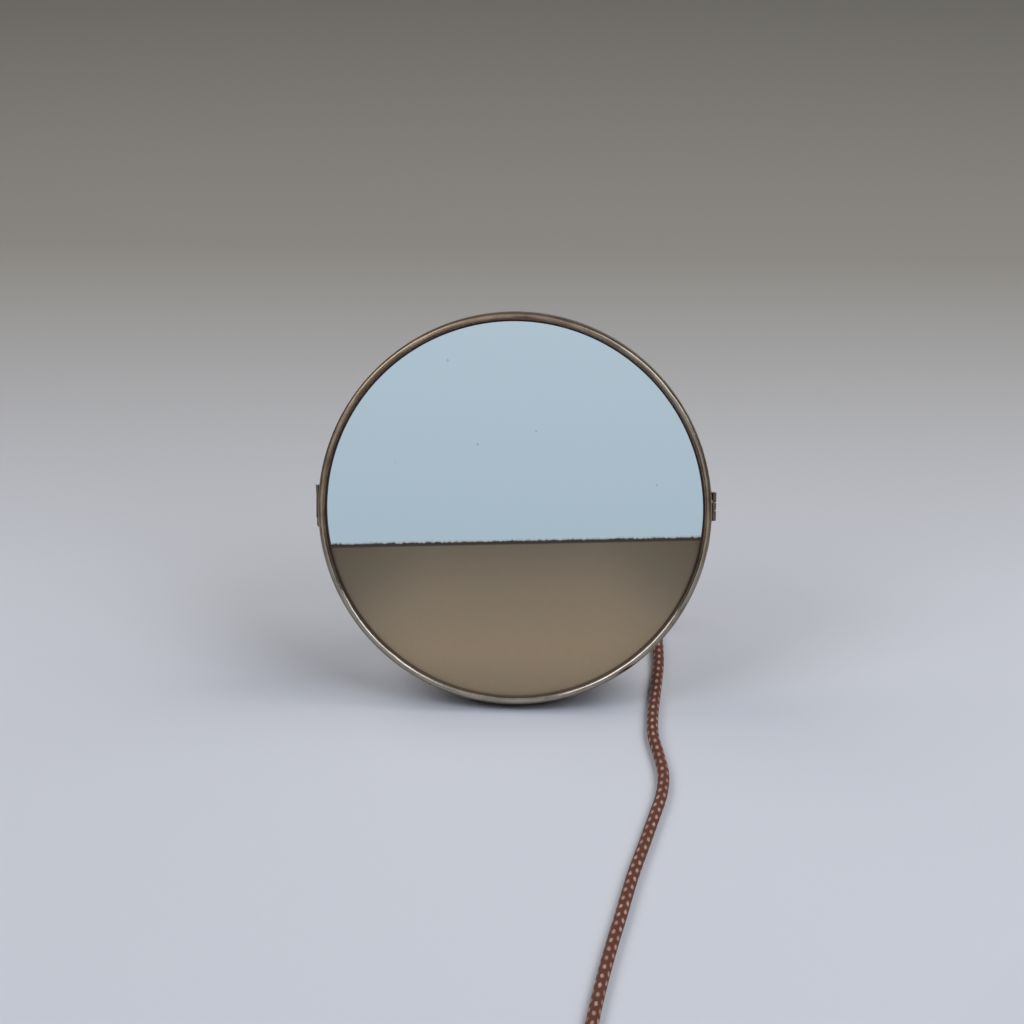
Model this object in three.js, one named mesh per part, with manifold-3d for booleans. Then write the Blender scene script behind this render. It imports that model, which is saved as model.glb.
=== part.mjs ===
import * as THREE from 'three';
import { mergeVertices } from 'three/addons/utils/BufferGeometryUtils.js';
import Module from 'manifold-3d';

// A round lighted mirror that leans back on a wire stand. Sizes in millimetres, angles in degrees.
// The head is drawn upright, with x to the right, y backward and z up from the middle of the glass.

// Lean of the whole head, and the gaps between pieces.
const LEAN = 17;
const SEAT_GAP = 0.3;
const DOOR_GAP = 0.5;

// Door ring with its glass.
const RING_RADIUS = 105;
const BEAD_WIDTH = 3.8;
const BEAD_BACK = 0.3;
const RING_SHEET = 0.8;
const SKIRT_OVERLAP = 4;
const SEAM_WIDTH = 0.3;
const SEAM_ANGLE = 6.6;
const PACKING_THICK = 0.5;
const GLASS_THICK = 3;
const GLASS_SLACK = 0.5;
const GLASS_TURN = 2.4;
const SILVER_DROP = 17.5;
const BACKING_THICK = 0.4;
const RETAINER_THICK = 1.2;
const RETAINER_WIDTH = 3.4;
const RETAINER_SPLIT = 8;

// Casing.
const CASE_SHEET = 0.8;
const CASE_DEPTH = 46;
const CASE_BEND = 6;
const WALL_LENGTH = 11;
const VENT_RADIUS = 2.5;
const VENT_COUNT = 7;
const VENT_STEP = 9;

// Hinge at the right.
const KNUCKLE_RADIUS = 1.4;
const HINGE_PIN_RADIUS = 0.7;
const HINGE_LENGTH = 15;
const MIDDLE_KNUCKLE = 3.9;
const HINGE_HEIGHT = 2.5;
const LEAF_THICK = 0.8;
const LEAF_LENGTH = 6;
const RIVET_RADIUS = 0.8;

// Clasp at the left.
const CLASP_BOTTOM = -10.5;
const CLASP_BASE_HEIGHT = 3.7;
const CLASP_TOP = 10.5;
const CLASP_THICK = 0.9;
const CLASP_FLARE = 1.2;
const CLASP_FRONT = 5;
const CLASP_BASE_LENGTH = 5.5;

// Lamp, holder and reflector.
const LAMP_SHARE = 0.5905;
const LAMP_EDGE = 0.5;
const HOLDER_LENGTH = 30;
const HOLDER_RADIUS = 12;
const HOLDER_BASE = 5;
const TERMINAL_OFF = 9.3;
const SLEEVE_RADIUS = 8.3;
const SLEEVE_WALL = 0.8;
const CAP_RADIUS = 6.9;
const CAP_LENGTH = 18;
const BULB_RADIUS = 11;
const BULB_LENGTH = 72;
const BULB_WALL = 0.7;
const BRACKET_THICK = 1;
const BRACKET_WIDTH = 13;
const BRACKET_FOOT = 20;
const REFLECTOR_SHEET = 0.6;
const REFLECTOR_GAP = 5;
const REFLECTOR_SHARE = 0.3723;
const REFLECTOR_OVER = 3;

// Stand, hanger, gland and switch on the back.
const WIRE_RADIUS = 2;
const STAND_EDGE = 23.9;
const STAND_OPEN = 27;
const STAND_CORNER = 16;
const PIVOT_HEIGHT = 12;
const PIVOT_STANDOFF = 4;
const LUG_THICK = 1.5;
const EAR_INSET = 7;
const HANGER_HEIGHT = 53;
const HANGER_SHEET = 1;
const HANGER_RISE = 3;
const GLAND_EDGE = 7;
const GLAND_DROP = 20;
const GLAND_BARREL = 5;
const GLAND_TAIL = 20;
const SWITCH_ACROSS = 46;
const SWITCH_HEIGHT = 40;
const SWITCH_HALF = 9;
const BUSH_RADIUS = 5.5;
const BUSH_LENGTH = 14;
const LEVER_TILT = 12;

// Cord, leads and plug.
const CORD_RADIUS = 3;
const LEAD_RADIUS = 1;
const LEAD_RUN = 6;
const PLUG_RADIUS = 14;
const PLUG_LENGTH = 36;
const PIN_RADIUS = 2;
const PIN_LENGTH = 19;
const PIN_SPACING = 19;

// Facets round the large turned pieces and the small ones.
const RING_SIDES = 64;
const SMALL_SIDES = 12;

const wasm = await Module();
wasm.setup();

// Joins the corners of a shape and turns its faces outward.
function closed(geometry) {
  const bare = geometry.clone();
  bare.deleteAttribute('normal');
  bare.deleteAttribute('uv');
  const joined = mergeVertices(bare, 1e-4);
  const place = joined.getAttribute('position');
  const corners = joined.index.array;
  const a = new THREE.Vector3();
  const b = new THREE.Vector3();
  const c = new THREE.Vector3();
  const kept = [];
  let volume = 0;
  for (let i = 0; i < corners.length; i += 3) {
    const [p, q, r] = [corners[i], corners[i + 1], corners[i + 2]];
    if (p === q || q === r || r === p) {
      continue;
    }
    kept.push(p, q, r);
    a.fromBufferAttribute(place, p);
    b.fromBufferAttribute(place, q);
    c.fromBufferAttribute(place, r);
    volume += a.dot(b.cross(c));
  }
  if (volume < 0) {
    for (let i = 0; i < kept.length; i += 3) {
      [kept[i], kept[i + 1]] = [kept[i + 1], kept[i]];
    }
  }
  joined.setIndex(kept);
  return joined;
}

// A solid that can be joined to others or cut by them.
function solid(geometry) {
  const shape = closed(geometry);
  return new wasm.Manifold(new wasm.Mesh({
    numProp: 3,
    vertProperties: new Float32Array(shape.getAttribute('position').array),
    triVerts: new Uint32Array(shape.index.array),
  }));
}

// A shape with others joined to it and others cut from it.
function worked(base, joins, cuts) {
  let body = solid(base);
  for (const join of joins) {
    body = body.add(solid(join));
  }
  for (const cut of cuts) {
    body = body.subtract(solid(cut));
  }
  const mesh = body.getMesh();
  const geometry = new THREE.BufferGeometry();
  geometry.setAttribute('position', new THREE.BufferAttribute(new Float32Array(mesh.vertProperties), 3));
  geometry.setIndex(Array.from(mesh.triVerts));
  return geometry;
}

// A piece turned about the y axis from points of radius and y, with flats square to x and z.
function turned(points, sides) {
  const profile = points.map(([radius, y]) => new THREE.Vector2(radius, y));
  return new THREE.LatheGeometry(profile, sides, Math.PI / sides);
}

// Turns a shape made along the y axis to run along another direction from a start point.
function aimed(geometry, start, direction) {
  const turn = new THREE.Quaternion().setFromUnitVectors(
    new THREE.Vector3(0, 1, 0), new THREE.Vector3(...direction).normalize());
  return geometry.applyQuaternion(turn).translate(...start);
}

// A round rod from one point to another.
function rod(radius, start, end, sides = 8) {
  const from = new THREE.Vector3(...start);
  const along = new THREE.Vector3(...end).sub(from);
  const length = along.length();
  const points = [[0, 0], [radius, 0], [radius, length], [0, length]];
  return aimed(turned(points, sides), start, along.toArray());
}

// A rectangular block between two corners.
function block(low, high) {
  const size = high.map((value, i) => value - low[i]);
  const middle = high.map((value, i) => (value + low[i]) / 2);
  return new THREE.BoxGeometry(...size).translate(...middle);
}

// A flat outline of two coordinates pushed along a third: axes names the two, then the push.
function pushed(outline, axes, from, to) {
  const shape = new THREE.Shape(outline.map(([u, v]) => new THREE.Vector2(u, v)));
  const geometry = new THREE.ExtrudeGeometry(shape, { depth: to - from, bevelEnabled: false });
  geometry.translate(0, 0, from);
  const unit = {
    x: new THREE.Vector3(1, 0, 0),
    y: new THREE.Vector3(0, 1, 0),
    z: new THREE.Vector3(0, 0, 1),
  };
  const basis = new THREE.Matrix4().makeBasis(...[...axes].map((axis) => unit[axis]));
  return geometry.applyMatrix4(basis);
}

// A round wire along a path; turn rolls its flats about the path.
function wire(path, radius, sides, steps, turn = 0) {
  const outline = [];
  for (let i = 0; i < sides; i += 1) {
    const angle = (2 * Math.PI * (i + 0.5)) / sides + turn;
    outline.push(new THREE.Vector2(radius * Math.cos(angle), radius * Math.sin(angle)));
  }
  const shape = new THREE.Shape(outline);
  return new THREE.ExtrudeGeometry(shape, { steps, bevelEnabled: false, extrudePath: path });
}

// A smooth path through points.
function smooth(points) {
  return new THREE.CatmullRomCurve3(points.map((point) => new THREE.Vector3(...point)), false, 'centripetal');
}

// A path of straight runs with its corners rounded, each by its own radius.
function bentPath(points, radii) {
  const spots = points.map((point) => new THREE.Vector3(...point));
  const path = new THREE.CurvePath();
  let last = spots[0];
  for (let i = 1; i < spots.length - 1; i += 1) {
    const before = spots[i - 1].clone().sub(spots[i]).setLength(radii[i - 1]).add(spots[i]);
    const after = spots[i + 1].clone().sub(spots[i]).setLength(radii[i - 1]).add(spots[i]);
    path.add(new THREE.LineCurve3(last, before));
    path.add(new THREE.QuadraticBezierCurve3(before, spots[i], after));
    last = after;
  }
  path.add(new THREE.LineCurve3(last, spots[spots.length - 1]));
  return path;
}

// A rivet: a shank between two faces, with a domed head outside each.
function rivet(start, direction, length) {
  const r = RIVET_RADIUS;
  return aimed(turned([
    [0, -r], [1.4 * r, -0.6 * r], [2 * r, 0], [r, 0],
    [r, length], [2 * r, length], [1.4 * r, length + 0.6 * r], [0, length + r],
  ], 8), start, direction);
}

// The hole that a rivet passes through.
function rivetHole(start, direction, length) {
  const way = new THREE.Vector3(...direction).normalize();
  const from = new THREE.Vector3(...start).addScaledVector(way, -2);
  const to = new THREE.Vector3(...start).addScaledVector(way, length + 2);
  return rod(RIVET_RADIUS + SEAT_GAP, from.toArray(), to.toArray());
}

// Adds a named piece with its own material to a group.
function piece(parent, name, geometry, look) {
  const mesh = new THREE.Mesh(closed(geometry), new THREE.MeshStandardMaterial(look));
  mesh.name = name;
  parent.add(mesh);
  return mesh;
}

const NICKEL = { color: '#8f8578', roughness: 0.35, metalness: 1 };
const BRASS = { color: '#b08d4a', roughness: 0.35, metalness: 1 };
const GLASS = { color: '#b4b8b4', roughness: 0.25, metalness: 0 };
const SILVER = { color: '#6d7a80', roughness: 0.4, metalness: 0.6 };
const FELT = { color: '#4a4038', roughness: 0.9, metalness: 0 };
const ENAMEL = { color: '#ece8dc', roughness: 0.4, metalness: 0 };
const PORCELAIN = { color: '#efeae0', roughness: 0.2, metalness: 0 };
const CLEAR = { color: '#dfe6e6', roughness: 0.05, metalness: 0 };
const TUNGSTEN = { color: '#5a5a5c', roughness: 0.5, metalness: 1 };
const BAKELITE = { color: '#33241c', roughness: 0.35, metalness: 0 };
const COTTON = { color: '#7a4632', roughness: 0.9, metalness: 0 };
const RUBBER = { color: '#2b2725', roughness: 0.8, metalness: 0 };
const TAPE = { color: '#d8cdb8', roughness: 0.9, metalness: 0 };

const head = new THREE.Group();
head.name = 'head';

// Depths of the layers behind the bead, from front to back.
const beadHalf = BEAD_WIDTH / 2;
const beadBack = beadHalf + BEAD_BACK;
const packingFront = beadBack + SEAT_GAP;
const glassFront = packingFront + PACKING_THICK + SEAT_GAP;
const glassBack = glassFront + GLASS_THICK;
const backingFront = glassBack + SEAT_GAP;
const retainerFront = backingFront + BACKING_THICK + SEAT_GAP;
const retainerBack = retainerFront + RETAINER_THICK;
const caseFront = retainerBack + DOOR_GAP;
const skirtBack = caseFront + SKIRT_OVERLAP;
const skirtInner = RING_RADIUS - RING_SHEET;
const beadInner = RING_RADIUS - BEAD_WIDTH;
const glassRadius = skirtInner - GLASS_SLACK;
const caseRadius = skirtInner - SEAT_GAP;
const wallBack = caseFront + WALL_LENGTH;
const backInside = CASE_DEPTH - CASE_SHEET;
const flatRadius = caseRadius - (CASE_DEPTH - wallBack);
const facet = Math.cos(Math.PI / RING_SIDES);

// Distance from the axis plane to a round edge or wall at a height.
const reach = (radius, height) => Math.sqrt(radius ** 2 - height ** 2);
const across = (radius, height) => reach(radius * facet, height);

// Door ring: a half-round bead with a skirt, butted at the left.
const beadArc = [];
for (let i = 0; i <= 6; i += 1) {
  const angle = (Math.PI * i) / 6;
  const radius = RING_RADIUS - beadHalf - beadHalf * Math.cos(angle);
  beadArc.push([radius, beadHalf * (1 - Math.sin(angle))]);
}
const ringProfile = [
  ...beadArc, [RING_RADIUS, skirtBack], [skirtInner, skirtBack], [skirtInner, beadBack],
  [beadInner, beadBack], beadArc[0],
];
const seamTurn = THREE.MathUtils.degToRad(SEAM_ANGLE);
const seam = block([-RING_RADIUS - 2, -2, -SEAM_WIDTH / 2], [-beadInner + 2, skirtBack + 2, SEAM_WIDTH / 2])
  .rotateY(-seamTurn);
piece(head, 'door_ring', worked(turned(ringProfile, RING_SIDES), [], [seam]), NICKEL);

// Packing ring, glass, backing of the silver and the split retaining ring.
const squareRing = (inner, outer, front, back) => turned(
  [[inner, front], [outer, front], [outer, back], [inner, back], [inner, front]], RING_SIDES);
const packing = squareRing(beadInner + SEAT_GAP, glassRadius, packingFront, packingFront + PACKING_THICK);
piece(head, 'glass_packing', packing, FELT);
const disc = (front, back) => turned([
  [0, front], [glassRadius, front], [glassRadius, back], [0, back],
], RING_SIDES);
piece(head, 'glass_disc', disc(glassFront, glassBack), GLASS);
const silverCut = block([-2 * RING_RADIUS, 0, -2 * RING_RADIUS], [2 * RING_RADIUS, CASE_DEPTH, -SILVER_DROP])
  .rotateY(THREE.MathUtils.degToRad(-GLASS_TURN));
const backing = worked(disc(backingFront, backingFront + BACKING_THICK), [], [silverCut]);
piece(head, 'silver_backing', backing, SILVER);
const retainerOuter = skirtInner - SEAT_GAP;
const retainerSplit = block([-RETAINER_SPLIT / 2, 0, -2 * RING_RADIUS], [RETAINER_SPLIT / 2, CASE_DEPTH, 0]);
const retainerRing = squareRing(retainerOuter - RETAINER_WIDTH, retainerOuter, retainerFront, retainerBack);
piece(head, 'retaining_ring', worked(retainerRing, [], [retainerSplit]), BRASS);

// Hinge: one knuckle on the ring, two on the casing, and the pin.
const hingeAcross = RING_RADIUS + 1;
const hingeDepth = skirtBack + SEAT_GAP + KNUCKLE_RADIUS;
const hingeLow = HINGE_HEIGHT - HINGE_LENGTH / 2;
const hingeHigh = HINGE_HEIGHT + HINGE_LENGTH / 2;
const middleLow = HINGE_HEIGHT - MIDDLE_KNUCKLE / 2;
const middleHigh = HINGE_HEIGHT + MIDDLE_KNUCKLE / 2;
const knuckle = (low, high) => rod(
  KNUCKLE_RADIUS, [hingeAcross, hingeDepth, low], [hingeAcross, hingeDepth, high], SMALL_SIDES);
const hingeBore = rod(HINGE_PIN_RADIUS + SEAT_GAP, [hingeAcross, hingeDepth, hingeLow - 1],
  [hingeAcross, hingeDepth, hingeHigh + 1], SMALL_SIDES);
const doorLeafInner = RING_RADIUS + SEAT_GAP;
const doorLeaf = block([doorLeafInner, hingeDepth - KNUCKLE_RADIUS - LEAF_LENGTH, middleLow],
  [doorLeafInner + LEAF_THICK, hingeDepth, middleHigh]);
piece(head, 'hinge_leaf_door', worked(doorLeaf, [knuckle(middleLow, middleHigh)], [hingeBore]), NICKEL);
const caseLeafInner = caseRadius + SEAT_GAP;
const caseLeafBack = wallBack + 1;
const caseLeaf = block([caseLeafInner, hingeDepth + HINGE_PIN_RADIUS, hingeLow],
  [caseLeafInner + LEAF_THICK, caseLeafBack, hingeHigh]);
const leafRoom = block([caseLeafInner - 1, hingeDepth - 3, middleLow - DOOR_GAP],
  [hingeAcross + 3, hingeDepth + KNUCKLE_RADIUS + SEAT_GAP, middleHigh + DOOR_GAP]);
const caseKnuckles = [knuckle(hingeLow, middleLow - DOOR_GAP), knuckle(middleHigh + DOOR_GAP, hingeHigh)];
const hingeRivets = [-1, 1].map((side) => {
  const height = HINGE_HEIGHT + side * 4.6;
  const start = across(caseRadius - CASE_SHEET, height) - SEAT_GAP;
  const length = caseLeafInner + LEAF_THICK + SEAT_GAP - start;
  return [[start, caseLeafBack - 2.2, height], [1, 0, 0], length];
});
const hingeHoles = hingeRivets.map((spec) => rivetHole(...spec));
piece(head, 'hinge_leaf_case', worked(caseLeaf, caseKnuckles, [hingeBore, leafRoom, ...hingeHoles]), NICKEL);
const hingePin = rod(HINGE_PIN_RADIUS, [hingeAcross, hingeDepth, hingeLow - SEAT_GAP],
  [hingeAcross, hingeDepth, hingeHigh + SEAT_GAP], SMALL_SIDES);
piece(head, 'hinge_pin', hingePin, NICKEL);
piece(head, 'hinge_rivet_low', rivet(...hingeRivets[0]), NICKEL);
piece(head, 'hinge_rivet_high', rivet(...hingeRivets[1]), NICKEL);

// Clasp: a base riveted to the casing and a springy tongue over the skirt of the door ring.
const claspInner = RING_RADIUS + SEAT_GAP;
const claspOuter = claspInner + CLASP_THICK;
const claspSplit = CLASP_BOTTOM + CLASP_BASE_HEIGHT;
const claspBaseFront = skirtBack + DOOR_GAP;
const claspBaseBack = claspBaseFront + CLASP_BASE_LENGTH;
const claspBase = pushed([
  [-caseLeafInner, CLASP_BOTTOM], [-caseLeafInner, claspSplit], [-claspOuter, claspSplit],
  [-claspOuter, CLASP_BOTTOM + 1.2], [-claspInner, CLASP_BOTTOM],
], 'xzy', claspBaseFront, claspBaseBack);
const claspRivetHeight = CLASP_BOTTOM + CLASP_BASE_HEIGHT / 2;
const claspRivetStart = across(caseRadius - CASE_SHEET, claspRivetHeight) - SEAT_GAP;
const claspRivet = [
  [-claspRivetStart, (claspBaseFront + claspBaseBack) / 2, claspRivetHeight], [-1, 0, 0],
  claspOuter + SEAT_GAP - claspRivetStart,
];
piece(head, 'clasp_base', worked(claspBase, [], [rivetHole(...claspRivet)]), NICKEL);
const tongueLow = claspSplit + SEAT_GAP;
const tongue = pushed([
  [-claspInner, tongueLow], [-claspInner, CLASP_TOP - 4], [-claspInner - CLASP_FLARE, CLASP_TOP],
  [-claspOuter - CLASP_FLARE, CLASP_TOP], [-claspOuter, CLASP_TOP - 4], [-claspOuter, tongueLow],
], 'xzy', CLASP_FRONT, claspBaseBack);
piece(head, 'clasp_tongue', tongue, NICKEL);
piece(head, 'clasp_rivet', rivet(...claspRivet), NICKEL);

// Lamp holder, lamp and reflector, along x behind the frosted part of the glass.
const lampDepth = (retainerBack + backInside) / 2;
const lampDrop = LAMP_SHARE * flatRadius;
const bracketLow = lampDrop + BRACKET_WIDTH / 2;
const bracketOuter = -reach(flatRadius - LAMP_EDGE, bracketLow);
const holderStart = bracketOuter + BRACKET_THICK + SEAT_GAP;
const lampAxis = [holderStart, lampDepth, -lampDrop];
const alongLamp = (points, sides) => aimed(turned(points, sides), lampAxis, [1, 0, 0]);
const holderBore = SLEEVE_RADIUS + SEAT_GAP;
const screwHole = rod(1.5 + SEAT_GAP, [holderStart - 5, lampDepth, -lampDrop],
  [holderStart + 3.3, lampDepth, -lampDrop]);
const holderCup = alongLamp([
  [0, 0], [HOLDER_RADIUS - 1, 0], [HOLDER_RADIUS, 1], [HOLDER_RADIUS, HOLDER_LENGTH],
  [holderBore, HOLDER_LENGTH], [holderBore, HOLDER_BASE], [0, HOLDER_BASE],
], 24);
piece(head, 'holder_cup', worked(holderCup, [], [screwHole]), PORCELAIN);
const sleeveStart = HOLDER_BASE + SEAT_GAP;
const sleeveInner = SLEEVE_RADIUS - SLEEVE_WALL;
piece(head, 'holder_sleeve', alongLamp([
  [sleeveInner, sleeveStart], [SLEEVE_RADIUS, sleeveStart], [SLEEVE_RADIUS, HOLDER_LENGTH - 2],
  [sleeveInner, HOLDER_LENGTH - 2], [sleeveInner, sleeveStart],
], 24), BRASS);
const contactEnd = sleeveStart + 2.5;
piece(head, 'holder_contact', alongLamp([
  [0, sleeveStart], [3.5, sleeveStart], [3.5, sleeveStart + 1], [1.5, contactEnd], [0, contactEnd],
], SMALL_SIDES), BRASS);
const capStart = contactEnd + SEAT_GAP;
const capEnd = capStart + CAP_LENGTH;
const capThread = [];
for (let i = 0; i <= 8; i += 1) {
  capThread.push([CAP_RADIUS - (i % 2 ? 0 : 0.5), capStart + 4 + (i * (CAP_LENGTH - 5)) / 8]);
}
const capInner = CAP_RADIUS - 1;
piece(head, 'lamp_cap', alongLamp([
  [0, capStart], [2.5, capStart], [2.5, capStart + 0.8], [CAP_RADIUS - 1, capStart + 3], ...capThread,
  [CAP_RADIUS, capEnd], [capInner, capEnd], [capInner, capStart + 5], [0, capStart + 5],
], 16), BRASS);
const neckOuter = capInner - SEAT_GAP;
const neckInner = neckOuter - BULB_WALL;
const neckStart = capStart + 8;
const bulbEnd = capEnd + BULB_LENGTH;
const bulbInner = BULB_RADIUS - BULB_WALL;
const bulbBody = capEnd + 9;
piece(head, 'lamp_glass', alongLamp([
  [neckInner, neckStart], [neckOuter, neckStart], [neckOuter, capEnd + 1], [BULB_RADIUS - 1.5, bulbBody - 3],
  [BULB_RADIUS, bulbBody], [BULB_RADIUS, bulbEnd - 8], [BULB_RADIUS * 0.75, bulbEnd - 2.5],
  [BULB_RADIUS * 0.35, bulbEnd - 0.4], [0, bulbEnd], [0, bulbEnd - BULB_WALL],
  [bulbInner * 0.75, bulbEnd - 2.5 - BULB_WALL], [bulbInner, bulbEnd - 8], [bulbInner, bulbBody],
  [bulbInner - 1.5, bulbBody - 3], [neckInner, capEnd + 1], [neckInner, neckStart],
], 20), CLEAR);
const stemEnd = bulbBody + 8;
piece(head, 'lamp_stem', alongLamp([
  [0, neckStart], [neckInner - SEAT_GAP, neckStart], [neckInner - SEAT_GAP, neckStart + 1],
  [2, neckStart + 6],
  [1.6, stemEnd], [0, stemEnd],
], SMALL_SIDES), CLEAR);
const filamentStart = holderStart + stemEnd + SEAT_GAP;
const filamentEnd = holderStart + bulbEnd - 14;
const filamentPoints = [[0, 0], [0.04, 1], [0.5, 5], [0.95, 6], [1, 4.5], [0.9, 2], [0.5, 0], [0.2, -2],
  [0.16, -4], [0.5, -5.5], [0.95, -6], [1, -4.5], [0.9, -2.5]];
const filamentPath = smooth(filamentPoints.map(([share, height], i) => [
  filamentStart + share * (filamentEnd - filamentStart), lampDepth + (i - 6) * 0.5 * Math.min(1, i / 3),
  -lampDrop + height,
]));
piece(head, 'lamp_filament', wire(filamentPath, 0.4, 6, 36), TUNGSTEN);
const bracketBack = backInside - SEAT_GAP;
const bracketFoot = pushed([
  [bracketOuter, lampDepth - 8], [bracketOuter + BRACKET_THICK, lampDepth - 8],
  [bracketOuter + BRACKET_THICK, bracketBack - BRACKET_THICK],
  [holderStart + BRACKET_FOOT, bracketBack - BRACKET_THICK],
  [holderStart + BRACKET_FOOT, bracketBack], [bracketOuter, bracketBack],
], 'xyz', -bracketLow, BRACKET_WIDTH - bracketLow);
const backRivetLength = CASE_SHEET + 2 * SEAT_GAP;
const bracketRivets = [0.25, 0.75].map((share) => [
  [holderStart + share * BRACKET_FOOT, bracketBack - BRACKET_THICK - SEAT_GAP, -lampDrop], [0, 1, 0],
  BRACKET_THICK + SEAT_GAP + backRivetLength,
]);
const bracketHoles = bracketRivets.map((spec) => rivetHole(...spec));
piece(head, 'holder_bracket', worked(bracketFoot, [], [screwHole, ...bracketHoles]), NICKEL);
piece(head, 'holder_screw', aimed(turned([
  [0, -2], [2, -2], [3, -1], [3, 0], [1.5, 0], [1.5, BRACKET_THICK + SEAT_GAP * 2 + 3],
  [0, BRACKET_THICK + 3.6],
], 10), [bracketOuter - SEAT_GAP, lampDepth, -lampDrop], [1, 0, 0]), BRASS);
piece(head, 'bracket_rivet_left', rivet(...bracketRivets[0]), NICKEL);
piece(head, 'bracket_rivet_right', rivet(...bracketRivets[1]), NICKEL);

// Reflector: a bent trough of enamelled sheet riveted to the back.
const spine = backInside - SEAT_GAP;
const reflectorHalf = REFLECTOR_SHARE * flatRadius;
const troughBack = [[0.62, -1], [0.86, -0.72], [1, -0.28], [1, 0.28], [0.86, 0.72], [0.62, 1]];
const troughOuter = troughBack.map(([depth, height]) => [
  spine * depth, -lampDrop + height * reflectorHalf,
]);
const troughInner = troughOuter.map(([depth, height]) => [depth - REFLECTOR_SHEET * 1.4, height]).reverse();
const reflectorLeft = holderStart + HOLDER_LENGTH + REFLECTOR_GAP;
const reflectorRight = reach(flatRadius + REFLECTOR_OVER, lampDrop + troughBack[4][1] * reflectorHalf);
const reflectorSeat = spine - REFLECTOR_SHEET * 1.4 - SEAT_GAP;
const reflectorRivets = [0.22, 0.76].map((share) => [
  [reflectorLeft + share * (reflectorRight - reflectorLeft), reflectorSeat, -lampDrop], [0, 1, 0],
  REFLECTOR_SHEET * 1.4 + SEAT_GAP + backRivetLength,
]);
const reflectorHoles = reflectorRivets.map((spec) => rivetHole(...spec));
const trough = pushed([...troughOuter, ...troughInner], 'yzx', reflectorLeft, reflectorRight);
piece(head, 'reflector', worked(trough, [], reflectorHoles), ENAMEL);
piece(head, 'reflector_rivet_left', rivet(...reflectorRivets[0]), NICKEL);
piece(head, 'reflector_rivet_right', rivet(...reflectorRivets[1]), NICKEL);

// Stand: a wire bail turning in two lugs; a tab on each lug stops it when open.
const pivotDepth = CASE_DEPTH + SEAT_GAP + PIVOT_STANDOFF;
const lugFace = CASE_DEPTH + SEAT_GAP;
const lugTop = lugFace + LUG_THICK;
const standHalf = flatRadius - STAND_EDGE;
const earOuter = standHalf - EAR_INSET;
const lean = THREE.MathUtils.degToRad(LEAN);
const open = THREE.MathUtils.degToRad(STAND_OPEN);
const splay = open - lean;
const bendHalf = THREE.MathUtils.degToRad(22.5);
const heelRadius = (caseRadius - CASE_BEND + CASE_BEND * Math.cos(bendHalf)) * facet;
const heelDepth = wallBack + CASE_BEND * Math.sin(bendHalf);
const headHeight = heelDepth * Math.sin(lean) + heelRadius * Math.cos(lean);
const pivotAbove = headHeight - pivotDepth * Math.sin(lean) + PIVOT_HEIGHT * Math.cos(lean);
const legLength = (pivotAbove - WIRE_RADIUS * Math.cos(Math.PI / 8)) / Math.cos(splay);
const wireEnd = earOuter - LUG_THICK - 2.5;
const bailPath = bentPath([
  [wireEnd, 0, 0], [standHalf, 0, 0], [standHalf, 0, -legLength],
  [-standHalf, 0, -legLength], [-standHalf, 0, 0], [-wireEnd, 0, 0],
], [5, STAND_CORNER, STAND_CORNER, 5]);
const bail = wire(bailPath, WIRE_RADIUS, 8, 60, splay).rotateX(open).translate(0, pivotDepth, PIVOT_HEIGHT);
piece(head, 'stand_bail', bail, NICKEL);
const tabReach = 9;
const tabOff = WIRE_RADIUS + SEAT_GAP;
const onLeg = (along, off) => [
  pivotDepth + along * Math.sin(open) + off * Math.cos(open),
  PIVOT_HEIGHT - along * Math.cos(open) + off * Math.sin(open),
];
const lugRivets = [];
for (const [side, label] of [[-1, 'left'], [1, 'right']]) {
  const sideRange = (from, to) => (side > 0 ? [from, to] : [-to, -from]);
  const ear = pushed([
    [lugFace, PIVOT_HEIGHT - 8], [lugFace, PIVOT_HEIGHT + 6], [pivotDepth + 2.5, PIVOT_HEIGHT + 6],
    [pivotDepth + 5, PIVOT_HEIGHT + 2], onLeg(tabReach - 3, tabOff + 1.5), onLeg(tabReach, tabOff + 1.5),
    onLeg(tabReach, tabOff), [lugTop, PIVOT_HEIGHT - 8],
  ], 'yzx', ...sideRange(earOuter - LUG_THICK, earOuter));
  const tab = pushed([
    onLeg(tabReach - 3, tabOff), onLeg(tabReach - 3, tabOff + 1.5),
    onLeg(tabReach, tabOff + 1.5), onLeg(tabReach, tabOff),
  ], 'yzx', ...sideRange(earOuter - LUG_THICK, standHalf + WIRE_RADIUS));
  const [footLow, footHigh] = sideRange(earOuter - 14, earOuter);
  const foot = block([footLow, lugFace, PIVOT_HEIGHT - 8], [footHigh, lugTop, PIVOT_HEIGHT + 6]);
  const [boreLow, boreHigh] = sideRange(earOuter - 5, earOuter + 2);
  const bore = rod(WIRE_RADIUS + SEAT_GAP * 1.5, [boreLow, pivotDepth, PIVOT_HEIGHT],
    [boreHigh, pivotDepth, PIVOT_HEIGHT], 16);
  const rivets = [-5, 3].map((height) => [
    [side * (earOuter - 10), backInside - SEAT_GAP, PIVOT_HEIGHT + height], [0, 1, 0],
    CASE_SHEET + 3 * SEAT_GAP + LUG_THICK,
  ]);
  lugRivets.push(...rivets);
  const lugHoles = rivets.map((spec) => rivetHole(...spec));
  piece(head, `stand_lug_${label}`, worked(foot, [ear, tab], [bore, ...lugHoles]),
    NICKEL);
  piece(head, `lug_rivet_${label}_low`, rivet(...rivets[0]), NICKEL);
  piece(head, `lug_rivet_${label}_high`, rivet(...rivets[1]), NICKEL);
}

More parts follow.
